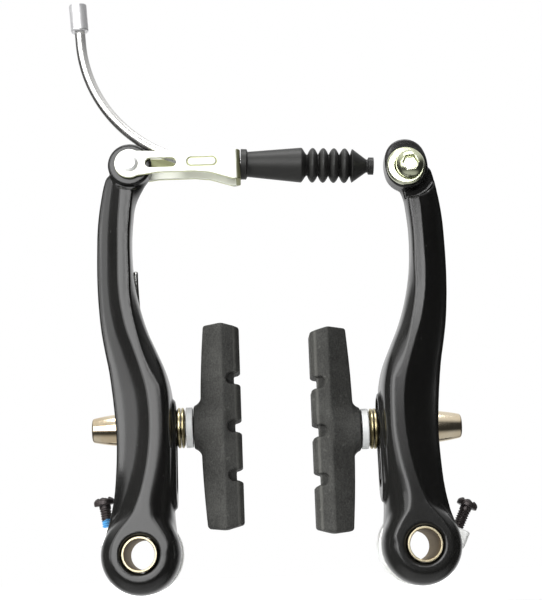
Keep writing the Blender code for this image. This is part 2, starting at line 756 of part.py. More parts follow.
def make_spring_stop(side, sign, arm, leg_end):
    """The pin in the arm's back that the spring's leg pushes outward."""
    across = abs(leg_end[0]) + WIRE_RADIUS + SLIM_GAP + SPRING_STOP_RADIUS
    height = leg_end[2] - SPRING_STOP_DROP
    back = ARM_BACK - along_table(BACK_SHARES, height / HEAD_HEIGHT) * MM
    tail = Vector((sign * across, leg_end[1] + WIRE_RADIUS + SPRING_STOP_PROUD, height))
    root = Vector((sign * across, back - SPRING_STOP_SEAT, height))
    hole = rod(
        side + "_spring_stop_hole", tail, root - Vector((0.0, GAP, 0.0)),
        SPRING_STOP_RADIUS + SLIM_GAP, segments=SMALL_ROUND,
    )
    cut(arm, hole)
    weld(arm)
    rod(side + "_spring_stop", tail, root, SPRING_STOP_RADIUS, STEEL, segments=SMALL_ROUND)


# Pads and their hardware

def washer(name, sign, outer_face, thickness, height, rounded_out):
    """A ring round the post. Its rounded face looks outward or inward."""
    full = WASHER_RADIUS
    flat = WASHER_RADIUS - 1.1 * MM
    lip = WASHER_EDGE
    if rounded_out:
        top, base = flat, full
    else:
        top, base = full, flat
    profile = [
        (WASHER_HOLE, thickness),
        (top, thickness),
        (full, thickness - lip if rounded_out else thickness),
        (full, 0.0 if rounded_out else lip),
        (base, 0.0),
        (WASHER_HOLE, 0.0),
    ]
    clean = [profile[0]]
    for pair in profile[1:]:
        if pair != clean[-1]:
            clean.append(pair)
    base_x = sign * (outer_face - thickness)
    return turned(
        name, clean, (base_x, POST_DEPTH, height), (sign, 0.0, 0.0), YELLOW_ZINC, ring=True,
        segments=WASHER_ROUND,
    )


def make_pad_hardware(side, sign):
    height = PAD_HEIGHT[side]
    face = SEAT_X - GAP
    washer(side + "_inner_dome_washer", sign, face, CUP_THICKNESS, height, True)
    face -= CUP_THICKNESS + GAP
    washer(side + "_inner_cup_washer", sign, face, DOME_THICKNESS, height, False)
    face -= DOME_THICKNESS + GAP
    spacer_profile = [
        (WASHER_HOLE, SPACER_THICKNESS),
        (WASHER_RADIUS - 0.3 * MM, SPACER_THICKNESS),
        (WASHER_RADIUS, SPACER_THICKNESS - 0.3 * MM),
        (WASHER_RADIUS, 0.3 * MM),
        (WASHER_RADIUS - 0.3 * MM, 0.0),
        (WASHER_HOLE, 0.0),
    ]
    face -= SPACER_THICKNESS
    turned(
        side + "_pad_spacer", spacer_profile, (sign * face, POST_DEPTH, height), (sign, 0.0, 0.0),
        SPACER_GREY, ring=True, segments=ROUND,
    )
    boss_face = face - GAP

    outer = POCKET_X + GAP + CUP_THICKNESS
    washer(side + "_outer_cup_washer", sign, outer, CUP_THICKNESS, height, False)
    outer += GAP + DOME_THICKNESS
    washer(side + "_outer_dome_washer", sign, outer, DOME_THICKNESS, height, True)
    nut_base = outer + GAP
    nut_profile = [
        (NUT_SOCKET_RADIUS * 0.9, NUT_LENGTH),
        (NUT_END_RADIUS - NUT_EDGE, NUT_LENGTH),
        (NUT_END_RADIUS, NUT_LENGTH - NUT_EDGE),
        (NUT_ROOT_RADIUS - NUT_EDGE, NUT_TAPER_START),
        (NUT_ROOT_RADIUS, NUT_FLANGE),
        (NUT_ROOT_RADIUS, 0.0),
        (WASHER_HOLE, 0.0),
        (WASHER_HOLE, NUT_LENGTH - NUT_SOCKET_DEPTH),
        (NUT_SOCKET_RADIUS * 0.9, NUT_LENGTH - NUT_SOCKET_DEPTH),
    ]
    nut = turned(
        side + "_pad_nut", nut_profile, (sign * nut_base, POST_DEPTH, height), (sign, 0.0, 0.0),
        GOLD_NUT, ring=True, segments=WASHER_ROUND,
    )
    socket_floor = nut_base + NUT_LENGTH - NUT_SOCKET_DEPTH
    socket = rod(
        side + "_nut_socket", (sign * (socket_floor - 0.5 * MM), POST_DEPTH, height),
        (sign * (nut_base + NUT_LENGTH + OVERRUN), POST_DEPTH, height), NUT_SOCKET_RADIUS, segments=6,
    )
    cut(nut, socket)
    post_end = socket_floor - 0.8 * MM
    make_pad(side, sign, boss_face, post_end)


def make_pad(side, sign, boss_face, post_end):
    name = side + "_pad"
    middle = PAD_HEIGHT[side]
    back = boss_face - PAD_BOSS_HEIGHT
    corner = back - PAD_BULGE
    face = corner - PAD_THICKNESS
    ridge = face + PAD_THICKNESS * PAD_RIDGE_SHARE
    half = PAD_LENGTH / 2
    flat_end = half - PAD_END_CROWN
    upper = [
        (face, -flat_end), (ridge, -half), (corner, -half + 0.5 * MM), (back, -7.5 * MM),
        (back, 7.5 * MM), (corner, half - 0.5 * MM), (ridge, half), (face, flat_end),
    ]
    side_outline = [(sign * u, middle + w) for u, w in upper]
    pad = prism(name, side_outline, POST_DEPTH, 3 * PAD_RIDGE_HALF_WIDTH, "Y", RUBBER)
    cross_half = [
        (face - 0.01 * MM, PAD_FACE_HALF_WIDTH), (face + PAD_EDGE_DEPTH, PAD_EDGE_HALF_WIDTH),
        (ridge, PAD_RIDGE_HALF_WIDTH),
        (back + 0.01 * MM, PAD_BACK_HALF_WIDTH),
    ]
    cross = [(sign * u, POST_DEPTH + w) for u, w in cross_half]
    cross += [(sign * u, POST_DEPTH - w) for u, w in reversed(cross_half)]
    section = prism(name + "_section", cross, middle, PAD_LENGTH * 1.2, "Z")
    combine(pad, section, "INTERSECT")
    boss = rod(
        name + "_boss", (sign * (back - 3.0 * MM), POST_DEPTH, middle),
        (sign * boss_face, POST_DEPTH, middle), PAD_BOSS_RADIUS,
    )
    join(pad, boss)

    for k in (-1, 0, 1):
        height = middle - 0.5 * MM + k * GROOVE_PITCH
        groove = block(
            f"{name}_groove_{k + 2}",
            (sign * (face - OVERRUN), POST_DEPTH - 10.0 * MM, height - GROOVE_WIDTH / 2),
            (sign * (face + GROOVE_DEPTH), POST_DEPTH + 10.0 * MM, height + GROOVE_WIDTH / 2),
        )
        cut(pad, groove)
        for label, way in (("front", -1.0), ("rear", 1.0)):
            bar_end = NOTCH_DEPTH - GROOVE_WIDTH / 2
            start = POST_DEPTH + way * (PAD_RIDGE_HALF_WIDTH + OVERRUN)
            stop = POST_DEPTH + way * (PAD_RIDGE_HALF_WIDTH - NOTCH_REACH)
            outline = [(sign * (face - OVERRUN), height - GROOVE_WIDTH / 2)]
            for u, w in arc((face + bar_end, height), GROOVE_WIDTH / 2, -90.0, 90.0, 6):
                outline.append((sign * u, w))
            outline.append((sign * (face - OVERRUN), height + GROOVE_WIDTH / 2))
            notch = prism(
                f"{name}_notch_{label}_{k + 2}", outline, (start + stop) / 2, abs(start - stop), "Y",
            )
            cut(pad, notch)

    insert_back = back - INSERT_COVER
    insert_front = insert_back - INSERT_THICKNESS
    room = GAP
    cavity = block(
        name + "_insert_room",
        (sign * (insert_front - room), POST_DEPTH - INSERT_WIDTH / 2 - room, middle - INSERT_LENGTH / 2 - room),
        (sign * (insert_back + room), POST_DEPTH + INSERT_WIDTH / 2 + room, middle + INSERT_LENGTH / 2 + room),
    )
    bore = rod(
        name + "_post_bore", (sign * (insert_front - room * 0.5), POST_DEPTH, middle),
        (sign * (boss_face + OVERRUN), POST_DEPTH, middle), POST_RADIUS + POST_FIT,
    )
    cut(pad, cavity, bore)

    post = rod(
        side + "_pad_post", (sign * (insert_front + 0.2 * MM), POST_DEPTH, middle),
        (sign * post_end, POST_DEPTH, middle), POST_RADIUS, STEEL,
    )
    plate = block(
        name + "_insert_plate",
        (sign * insert_front, POST_DEPTH - INSERT_WIDTH / 2, middle - INSERT_LENGTH / 2),
        (sign * insert_back, POST_DEPTH + INSERT_WIDTH / 2, middle + INSERT_LENGTH / 2),
    )
    join(post, plate)


# Link with its pin

def make_link():
    start = PIN_X - LINK_END_RADIUS - OVERRUN
    outer_end = FLANGE_X + SHEET
    inner = LINK_INNER_FACE
    outer = LINK_OUTER_FACE
    corner = LINK_CORNER
    strip = [(start, HEAD_MIDDLE - outer)]
    strip += arc((outer_end - corner, HEAD_MIDDLE - outer + corner), corner, -90.0, 0.0, 4)
    strip += arc((outer_end - corner, HEAD_MIDDLE + outer - corner), corner, 0.0, 90.0, 4)
    strip += [(start, HEAD_MIDDLE + outer), (start, HEAD_MIDDLE + inner)]
    inner_corner = corner - SHEET
    strip += arc((FLANGE_X - inner_corner, HEAD_MIDDLE + inner - inner_corner), inner_corner, 90.0, 0.0, 3)
    strip += arc((FLANGE_X - inner_corner, HEAD_MIDDLE - inner + inner_corner), inner_corner, 0.0, -90.0, 3)
    strip += [(start, HEAD_MIDDLE - inner)]
    link = prism("noodle_link", strip, HEAD_HEIGHT, 4 * FLANGE_BOTTOM, "Z", ZINC)

    mouth_x = FLANGE_X - LINK_MOUTH_REACH
    level = HEAD_HEIGHT
    side = arc((PIN_X, level), LINK_END_RADIUS, LINK_END_OPENING, 360.0 - LINK_END_OPENING, 12)
    side += [
        (PIN_X + LINK_WAIST_START, level - LINK_WAIST), (PIN_X + LINK_WAIST_END, level - LINK_WAIST),
        (mouth_x, level - LINK_MOUTH), (FLANGE_X - 1.0 * MM, level - FLANGE_BOTTOM),
        (outer_end + OVERRUN, level - FLANGE_BOTTOM), (outer_end + OVERRUN, level + LINK_TOP),
        (PIN_X + LINK_WAIST_START, level + LINK_TOP),
    ]
    profile = prism("noodle_link_profile", side, HEAD_MIDDLE, 4 * LINK_OUTER_FACE, "Y")
    combine(link, profile, "INTERSECT")

    half = LINK_SLOT_HEIGHT / 2
    for number, (near, far) in enumerate(LINK_SLOTS, start=1):
        outline = arc((PIN_X + near + half, level), half, 90.0, 270.0, 6)
        outline += arc((PIN_X + far - half, level), half, -90.0, 90.0, 6)
        window = prism(
            f"noodle_link_window_{number}", outline, HEAD_MIDDLE - LINK_OUTER_FACE, 2 * SHEET, "Y",
        )
        cut(link, window)
    pin_hole = rod(
        "noodle_link_pin_hole", (PIN_X, HEAD_MIDDLE + 2 * LINK_OUTER_FACE, level),
        (PIN_X, HEAD_MIDDLE - 2 * LINK_OUTER_FACE, level), PIN_RADIUS + SLIM_GAP, segments=SMALL_ROUND,
    )
    keyhole = rod(
        "noodle_link_keyhole", (FLANGE_X - OVERRUN, HEAD_MIDDLE, level),
        (outer_end + OVERRUN, HEAD_MIDDLE, level), TIP_NECK_RADIUS + SLIM_GAP, segments=SMALL_ROUND,
    )
    throat = block(
        "noodle_link_throat", (FLANGE_X - 0.5 * MM, HEAD_MIDDLE - TIP_NOSE_RADIUS, level),
        (outer_end + OVERRUN, HEAD_MIDDLE + TIP_NOSE_RADIUS, level + 2 * LINK_TOP),
    )
    cut(link, pin_hole, keyhole, throat)
    move_origin(link, (PIN_X, HEAD_MIDDLE, level))

    reach = LINK_OUTER_FACE + GAP
    top = 2 * reach + 2 * PIN_HEAD_HEIGHT
    pin_profile = [
        (0.0, top), (PIN_HEAD_RADIUS * 0.7, top - 0.05 * MM), (PIN_HEAD_RADIUS, top - PIN_HEAD_HEIGHT * 0.7),
        (PIN_HEAD_RADIUS, top - PIN_HEAD_HEIGHT), (PIN_RADIUS, top - PIN_HEAD_HEIGHT),
        (PIN_RADIUS, PIN_HEAD_HEIGHT), (PIN_HEAD_RADIUS, PIN_HEAD_HEIGHT),
        (PIN_HEAD_RADIUS, PIN_HEAD_HEIGHT * 0.3), (PIN_HEAD_RADIUS * 0.7, 0.0), (0.0, 0.0),
    ]
    turned(
        "link_pin", pin_profile, (PIN_X, HEAD_MIDDLE + reach + PIN_HEAD_HEIGHT, level), FRONT, ZINC,
        segments=WASHER_ROUND,
    )


# Noodle, its nose and ferrule, and the boot

def noodle_route(lead, tail):
    """Points from the nose to the inlet. Lead and tail lengthen the straight ends."""
    level = HEAD_HEIGHT
    start = FLANGE_X - TIP_COLLAR_LENGTH - NOODLE_LEAD
    centre = (start, level + NOODLE_BEND_RADIUS)
    points = [Vector((start + lead, HEAD_MIDDLE, level))]
    steps = 15
    for i in range(steps + 1):
        angle = radians(NOODLE_BEND_ANGLE) * i / steps
        across = centre[0] - NOODLE_BEND_RADIUS * sin(angle)
        up = centre[1] - NOODLE_BEND_RADIUS * cos(angle)
        points.append(Vector((across, HEAD_MIDDLE, up)))
    way = Vector((-cos(radians(NOODLE_BEND_ANGLE)), 0.0, sin(radians(NOODLE_BEND_ANGLE))))
    points.append(points[-1] + way * (NOODLE_STRAIGHT + tail))
    return points, way


def make_noodle():
    route, way = noodle_route(NOODLE_LEAD, 0.0)
    noodle = tube("noodle_tube", route, NOODLE_RADIUS, STEEL)
    long_route, _ = noodle_route(NOODLE_LEAD + OVERRUN, OVERRUN)
    cut(noodle, tube("noodle_tube_bore", long_route, NOODLE_BORE))
    liner_route, _ = noodle_route(NOODLE_LEAD + TIP_COLLAR_LENGTH + TIP_REACH, -0.2 * MM)
    liner = tube("noodle_liner", liner_route, LINER_RADIUS, LINER_WHITE, resolution=1)
    liner_long, _ = noodle_route(NOODLE_LEAD + TIP_COLLAR_LENGTH + TIP_REACH + OVERRUN, OVERRUN)
    cut(liner, tube("noodle_liner_bore", liner_long, LINER_BORE, resolution=1))

    nose = TIP_COLLAR_LENGTH + TIP_REACH
    bore = LINER_RADIUS + 0.1 * MM
    neck_start = TIP_COLLAR_LENGTH - SLIM_GAP
    tip_profile = [
        (bore, nose), (TIP_NOSE_RADIUS, nose), (TIP_NECK_RADIUS, nose - 3.0 * MM),
        (TIP_NECK_RADIUS, neck_start), (TIP_COLLAR_RADIUS, neck_start),
        (TIP_COLLAR_RADIUS, 0.3 * MM), (TIP_COLLAR_RADIUS - 0.3 * MM, 0.0), (bore, 0.0),
    ]
    base = (FLANGE_X - TIP_COLLAR_LENGTH, HEAD_MIDDLE, HEAD_HEIGHT)
    tip = turned("noodle_tip", tip_profile, base, (1.0, 0.0, 0.0), STEEL, ring=True, segments=SMALL_ROUND)
    tip.location.x += SLIM_GAP / 2

    end = route[-1]
    ferrule_profile = [
        (FERRULE_BORE, FERRULE_LENGTH), (FERRULE_RADIUS - 0.2 * MM, FERRULE_LENGTH),
        (FERRULE_RADIUS, FERRULE_LENGTH - 0.2 * MM), (FERRULE_RADIUS, 0.5 * MM),
        (FERRULE_RADIUS - 0.5 * MM, 0.0), (NOODLE_BORE, 0.0),
        (NOODLE_BORE, FERRULE_FLOOR), (FERRULE_BORE, FERRULE_FLOOR),
    ]
    turned("noodle_ferrule", ferrule_profile, end + way * SLIM_GAP, way, STEEL, ring=True, segments=WASHER_ROUND)


def boot_profile():
    """Small end, cone, ridges and grooves, tapered barrel and collar, then back up the bore."""
    pitch = BOOT_RIDGE_PITCH
    edge = BOOT_RIDGE_RADIUS - 0.25 * MM
    first_ridge = BOOT_BARREL_LENGTH + pitch
    cone_base = first_ridge + (BOOT_RIDGES - 1) * pitch + 0.7 * pitch
    cone_end = cone_base + BOOT_CONE_LENGTH
    lip = cone_end + 0.4 * MM
    tip = lip + BOOT_LIP_LENGTH
    outline = [
        (BOOT_BORE, tip), (BOOT_LIP_RADIUS - 0.25 * MM, tip), (BOOT_LIP_RADIUS, tip - 0.4 * MM),
        (BOOT_LIP_RADIUS, lip + 0.3 * MM), (BOOT_CONE_END_RADIUS, lip),
        (BOOT_CONE_END_RADIUS, cone_end), (edge - 0.2 * MM, cone_base),
    ]
    for k in reversed(range(BOOT_RIDGES)):
        middle = first_ridge + k * pitch
        outline += [
            (BOOT_GROOVE_RADIUS, middle + pitch / 2),
            (edge, middle + BOOT_RIDGE_EDGE), (BOOT_RIDGE_RADIUS, middle), (edge, middle - BOOT_RIDGE_EDGE),
        ]
    outline += [
        (BOOT_GROOVE_RADIUS, first_ridge - pitch / 2),
        (BOOT_BARREL_RADIUS - 0.2 * MM, BOOT_BARREL_LENGTH + 0.4 * MM),
        (BOOT_BARREL_RADIUS, BOOT_BARREL_LENGTH - 0.2 * MM),
        (BOOT_NECK_RADIUS, BOOT_COLLAR_LENGTH + 0.3 * MM), (BOOT_COLLAR_RADIUS, BOOT_COLLAR_LENGTH),
        (BOOT_COLLAR_RADIUS, 0.0), (BOOT_MOUTH_BORE, 0.0),
        (BOOT_MOUTH_BORE, TIP_REACH + 1.5 * MM), (BOOT_BORE, TIP_REACH + 3.0 * MM),
    ]
    return outline


def make_boot():
    tilt = radians(BOOT_TILT)
    base = (FLANGE_X + SHEET + BOOT_GAP, HEAD_MIDDLE, HEAD_HEIGHT)
    direction = (cos(tilt), 0.0, -sin(tilt))
    turned("noodle_boot", boot_profile(), base, direction, BOOT_RUBBER, ring=True, segments=SMALL_ROUND)


# Cable clamp on the right head

def make_clamp():
    washer_back = HEAD_FRONT - GAP
    hole = CLAMP_BOLT_RADIUS + GAP
    washer_profile = [
        (hole, CLAMP_WASHER_THICKNESS),
        (CLAMP_WASHER_RADIUS - 0.3 * MM, CLAMP_WASHER_THICKNESS),
        (CLAMP_WASHER_RADIUS, CLAMP_WASHER_THICKNESS - 0.3 * MM),
        (CLAMP_WASHER_RADIUS, 0.0), (hole, 0.0),
    ]
    turned(
        "cable_washer", washer_profile, (HEAD_X, washer_back, CLAMP_HEIGHT), FRONT, YELLOW_ZINC, ring=True,
    )
    head_base = washer_back - CLAMP_WASHER_THICKNESS - GAP
    base_depth = CLAMP_BOLT_BACK
    shank = base_depth - head_base
    top = shank + CLAMP_HEAD_HEIGHT
    bolt_profile = [(0.0, top), (CLAMP_SOCKET_RADIUS + 0.3 * MM, top)]
    for i in range(1, 5):
        angle = pi / 2 * i / 4
        reach = CLAMP_HEAD_RADIUS - CLAMP_SOCKET_RADIUS - 0.3 * MM
        bolt_profile.append((
            CLAMP_SOCKET_RADIUS + 0.3 * MM + reach * sin(angle),
            top - (CLAMP_HEAD_HEIGHT - 0.8 * MM) * (1 - cos(angle)),
        ))
    bolt_profile += [
        (CLAMP_HEAD_RADIUS, shank), (CLAMP_BOLT_RADIUS, shank), (CLAMP_BOLT_RADIUS, 0.4 * MM),
        (CLAMP_BOLT_RADIUS - 0.4 * MM, 0.0), (0.0, 0.0),
    ]
    bolt = turned("cable_bolt", bolt_profile, (HEAD_X, base_depth, CLAMP_HEIGHT), FRONT, YELLOW_ZINC)
    crown = base_depth - top
    socket = rod(
        "cable_bolt_socket", (HEAD_X, crown + CLAMP_SOCKET_DEPTH, CLAMP_HEIGHT),
        (HEAD_X, crown - OVERRUN, CLAMP_HEIGHT), CLAMP_SOCKET_RADIUS, segments=6,
    )
    cut(bolt, socket)


for side_name, side_sign in SIDES.items():
    make_bushing(side_name, side_sign)
    make_holder(side_name, side_sign)
    make_tension_screw(side_name, side_sign)
    spring_end = make_spring(side_name, side_sign)
    built_arm = make_arm(side_name, side_sign)
    make_spring_stop(side_name, side_sign, built_arm, spring_end)
    move_origin(built_arm, (side_sign * PIVOT_X, 0.0, 0.0))
    make_pad_hardware(side_name, side_sign)
make_link()
make_noodle()
make_boot()
make_clamp()
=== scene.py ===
# %% [markdown]
# # A rim brake, dressed for its portrait
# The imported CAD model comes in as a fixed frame. Every cell below either makes a finish or builds
# a finer version of one of its pieces in exactly the same place. Sizes are in millimetres and turn
# into metres only where a mesh or a finish is made.

# %% Load the frame
from math import cos, pi, radians, sin, tan

import bmesh
import bpy
import numpy as np
from mathutils import Matrix, Vector


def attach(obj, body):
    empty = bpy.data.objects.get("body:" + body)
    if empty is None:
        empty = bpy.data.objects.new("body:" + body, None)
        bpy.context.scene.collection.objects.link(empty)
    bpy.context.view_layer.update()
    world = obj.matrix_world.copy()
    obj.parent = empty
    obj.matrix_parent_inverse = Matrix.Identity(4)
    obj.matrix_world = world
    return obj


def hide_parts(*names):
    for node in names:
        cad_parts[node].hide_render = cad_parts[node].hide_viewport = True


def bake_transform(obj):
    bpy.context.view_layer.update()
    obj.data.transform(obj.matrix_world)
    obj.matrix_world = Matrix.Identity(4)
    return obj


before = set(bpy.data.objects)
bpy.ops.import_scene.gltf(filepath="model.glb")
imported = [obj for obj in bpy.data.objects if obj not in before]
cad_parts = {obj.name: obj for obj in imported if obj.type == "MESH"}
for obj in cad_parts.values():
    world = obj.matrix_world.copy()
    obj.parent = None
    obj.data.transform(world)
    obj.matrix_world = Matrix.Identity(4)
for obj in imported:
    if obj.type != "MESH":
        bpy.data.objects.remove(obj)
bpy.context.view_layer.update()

MM = 0.001
SIDES = {"left": -1.0, "right": 1.0}
FORWARD = (0.0, -1.0, 0.0)
print("nodes in the frame:", len(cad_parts))

# %% [markdown]
# ## The camera
# The product photo looks slightly up at the brake from just left of its middle. The camera's
# place, turn and lens come from fitting known heights and widths of the brake to the picture.

# %% Camera
def put(name, data):
    """A new object at the origin, linked to the scene."""
    made = bpy.data.objects.new(name, data)
    bpy.context.scene.collection.objects.link(made)
    return made


YAW, PITCH, ROLL = radians(1.35), radians(10.82), radians(-2.09)
SENSOR, IMAGE_WIDTH, FOCAL_PIXELS = 36.0, 542.0, 1402.6
CAMERA_PLACE = (-0.0096, -0.4024, -0.0048)
forward = Vector((sin(YAW) * cos(PITCH), cos(YAW) * cos(PITCH), sin(PITCH)))
level = Vector((cos(YAW), -sin(YAW), 0.0))
above = level.cross(forward)
right = level * cos(ROLL) + above * sin(ROLL)
up = -level * sin(ROLL) + above * cos(ROLL)
camera = put("camera", bpy.data.cameras.new("camera"))
camera.data.sensor_fit = "HORIZONTAL"
camera.data.sensor_width = SENSOR
camera.data.lens = SENSOR * FOCAL_PIXELS / IMAGE_WIDTH
camera.data.clip_start, camera.data.clip_end = 0.01, 20.0
turn = Matrix((right, up, -forward)).transposed().to_4x4()
camera.matrix_world = Matrix.Translation(CAMERA_PLACE) @ turn
bpy.context.scene.camera = camera
print("lens", round(camera.data.lens, 2), "mm")

# %% [markdown]
# ## Node graphs as sums
# Shader maths reads best as ordinary sums, so a socket is wrapped in a small class whose operators
# add Math nodes. Everything else comes from one method: a node's type, its settings, its sockets.

# %% A socket that can be added, multiplied and eased
class Value:
    def __init__(self, graph, socket):
        self.graph = graph
        self.socket = socket

    def maths(self, operation, *others):
        return self.graph.maths(operation, self, *others)

    def __add__(self, other): return self.graph.maths("ADD", self, other)
    def __radd__(self, other): return self.graph.maths("ADD", other, self)
    def __sub__(self, other): return self.graph.maths("SUBTRACT", self, other)
    def __rsub__(self, other): return self.graph.maths("SUBTRACT", other, self)
    def __mul__(self, other): return self.graph.maths("MULTIPLY", self, other)
    def __rmul__(self, other): return self.graph.maths("MULTIPLY", other, self)
    def __truediv__(self, other): return self.graph.maths("DIVIDE", self, other)
    def __rtruediv__(self, other): return self.graph.maths("DIVIDE", other, self)
    def __pow__(self, other): return self.graph.maths("POWER", self, other)
    def __abs__(self): return self.graph.maths("ABSOLUTE", self)

    def ease(self, low, high):
        """0 below low, 1 above high, smooth between."""
        sockets = {"Value": self, "From Min": low, "From Max": high}
        return self.graph.node("ShaderNodeMapRange", {"interpolation_type": "SMOOTHSTEP"}, sockets)


# %% A graph that makes any node in one call
class Graph:
    def __init__(self, tree):
        self.tree = tree

    def node(self, kind, settings=None, sockets=(), out=0):
        """Adds a node and gives back its output, or a list where out is a tuple."""
        made = self.tree.nodes.new(kind)
        for name, value in (settings or {}).items():
            setattr(made, name, value)
        pairs = sockets.items() if isinstance(sockets, dict) else enumerate(sockets)
        for key, value in pairs:
            self.feed(made.inputs[key], value)
        if isinstance(out, tuple):
            return [Value(self, made.outputs[key]) for key in out]
        return Value(self, made.outputs[out])

    def feed(self, socket, value):
        if isinstance(value, Value):
            self.tree.links.new(value.socket, socket)
        elif isinstance(value, tuple) and socket.type == "RGBA":
            socket.default_value = (*value, 1.0)
        else:
            socket.default_value = value

    def maths(self, operation, *values):
        return self.node("ShaderNodeMath", {"operation": operation}, values)

    def vector_maths(self, operation, sockets):
        return self.node("ShaderNodeVectorMath", {"operation": operation}, sockets)

    def split(self, vector):
        return self.node("ShaderNodeSeparateXYZ", None, [vector], (0, 1, 2))

    def mix(self, share, first, second):
        """Two colours mixed by a share."""
        return self.node("ShaderNodeMix", {"data_type": "RGBA"}, {0: share, 6: first, 7: second}, 2)


# %% A finish: one Principled shader with its own graph
class Finish(Graph):
    def __init__(self, name, metallic=0.0, uniform=None):
        self.material = bpy.data.materials.new(name)
        self.material.use_nodes = True
        super().__init__(self.material.node_tree)
        self.shader = self.tree.nodes["Principled BSDF"]
        for key, value in {"Metallic": metallic, **(uniform or {})}.items():
            self.feed(self.shader.inputs[key], value)
        self.place = self.node("ShaderNodeTexCoord", out="Object")

    def noise(self, scale, detail=3.0, roughness=0.5, place=None):
        sockets = {"Vector": place or self.place, "Scale": scale, "Detail": detail,
                   "Roughness": roughness}
        return self.node("ShaderNodeTexNoise", None, sockets)

    def grain(self, scale, detail=4.0, roughness=0.6):
        """Noise on stretched object coordinates, for marks that run one way."""
        stretched = self.node("ShaderNodeMapping", None, {"Vector": self.place, "Scale": scale})
        return self.noise(1.0, detail, roughness, stretched)

    def finish(self, colour, roughness, height=None, distance=0.00003, strength=1.0):
        self.feed(self.shader.inputs["Base Color"], colour)
        self.feed(self.shader.inputs["Roughness"], roughness)
        if height is not None:
            sockets = {"Height": height, "Distance": distance, "Strength": strength}
            self.feed(self.shader.inputs["Normal"], self.node("ShaderNodeBump", None, sockets))
        return self.material


print("graph classes ready")

# %% [markdown]
# ## Finishes
# The arms are forged and coated black: a satin skin with a very fine orange peel. The light
# metals are plated, so their colour drifts a little and fine lines run where they were rolled,
# drawn or turned. Rubber is matt, grainy and slightly dusty. Each finish is one Principled shader,
# varied by noises on object coordinates, so that the pattern stays on the piece when it moves.

# %% Black coated arm
def arm_black():
    skin = Finish("arm_black", 0.0, {"IOR": 1.5})
    broad = skin.noise(55.0, 2.0)
    fine = skin.noise(1400.0)
    specks = skin.noise(620.0, 2.0).ease(0.735, 0.79)
    colour = skin.mix(broad, (0.0050, 0.0050, 0.0048), (0.0085, 0.0085, 0.0080))
    colour = skin.mix(specks * 0.2, colour, (0.10, 0.10, 0.095))
    roughness = 0.15 + 0.06 * broad + 0.05 * fine + 0.1 * specks
    return skin.finish(colour, roughness, fine, 0.000018, 0.5)


ARM_BLACK = arm_black()

# %% Plated metals
def plated(name, dark, light, roughness, drift, grain=None, metallic=1.0):
    """A plated metal: colour drifts between two tones and roughness follows the grain."""
    metal = Finish(name, metallic)
    broad = metal.noise(drift)
    fine = metal.grain(grain) if grain else metal.noise(2200.0)
    colour = metal.mix(broad.ease(0.35, 0.65), dark, light)
    return metal.finish(colour, roughness - 0.06 + 0.12 * fine, fine, 0.000006, 0.6)


ZINC = plated("bright_zinc", (0.86, 0.87, 0.84), (0.96, 0.97, 0.95), 0.36, 70.0, None, 0.55)
YELLOW_ZINC = plated("yellow_zinc", (0.60, 0.64, 0.42), (0.80, 0.82, 0.64), 0.24, 120.0)
WASHER_GOLD = plated(
    "washer_gold", (0.38, 0.32, 0.17), (0.60, 0.53, 0.32), 0.28, 160.0, (400, 4200, 4200),
)
CHAMPAGNE = plated(
    "champagne_nut", (0.76, 0.62, 0.42), (0.90, 0.79, 0.60), 0.15, 120.0, (4200, 260, 260),
)
STEEL = plated("polished_steel", (0.60, 0.60, 0.58), (0.72, 0.72, 0.70), 0.20, 80.0)
TUBE_CHROME = plated("tube_chrome", (0.78, 0.77, 0.75), (0.88, 0.88, 0.86), 0.29, 60.0)
FERRULE_GREY = plated(
    "ferrule_grey", (0.80, 0.80, 0.81), (0.88, 0.88, 0.89), 0.42, 100.0, None, 0.85,
)

# %% Brass bushings and the passivated link
PIVOT = 38.0


def bushing_brass():
    """Bright at the rim; dull inside the bore, where the darker colour is painted shade."""
    brass = Finish("bushing_brass", 1.0)
    x, _, z = brass.split(brass.place)
    from_axis = ((abs(x) - PIVOT * MM) ** 2 + z ** 2) ** 0.5
    inside = 1.0 - from_axis.ease(4.12 * MM, 4.25 * MM)
    cloud = brass.noise(160.0, 4.0)
    fine = brass.grain((5200, 160, 5200))
    rim = brass.mix(cloud, (0.44, 0.38, 0.24), (0.70, 0.63, 0.45))
    # Inside the bore the colour is darkened: painted shade.
    bore = brass.mix(cloud, (0.24, 0.17, 0.085), (0.42, 0.32, 0.17))
    roughness = 0.3 + 0.25 * inside + 0.1 * fine
    return brass.finish(brass.mix(inside, rim, bore), roughness, fine, 0.000006, 0.6)


def link_zinc():
    """Yellow passivated sheet: polished pale outer faces; olive folds and edges with painted shade.
    """
    sheet = Finish("link_zinc", 0.5)
    x, y, z = sheet.split(sheet.place)
    front_face = 1.0 - y.ease(-24.88 * MM, -24.72 * MM)
    lower_back = 1.0 - abs(y + 16.9 * MM).ease(0.06 * MM, 0.16 * MM)
    lower_back = lower_back * (1.0 - z.ease(106.6 * MM, 107.4 * MM))
    rear_face = y.ease(-16.04 * MM, -15.92 * MM)
    face = front_face.maths("MAXIMUM", lower_back).maths("MAXIMUM", rear_face)
    cloud = sheet.noise(220.0, 4.0)
    fine = sheet.grain((260, 3200, 3200))
    pale = sheet.mix(cloud, (0.80, 0.82, 0.74), (0.90, 0.91, 0.86))
    # The olive tint of folds and edges is darkened there as painted shade.
    olive_tint_and_painted_shade = sheet.mix(cloud, (0.40, 0.42, 0.20), (0.66, 0.68, 0.44))
    # Near the flange the folds and edges are darker still: painted shade.
    flange = x.ease(-10.2 * MM, -9.8 * MM) * (1.0 - face)
    olive_tint_and_painted_shade = sheet.mix(flange * 0.75, olive_tint_and_painted_shade, (0.10, 0.10, 0.045))
    roughness = 0.52 - 0.12 * face + 0.1 * fine
    return sheet.finish(sheet.mix(face, olive_tint_and_painted_shade, pale), roughness, fine, 0.00001, 0.5)


BRASS = bushing_brass()
LINK_ZINC = link_zinc()

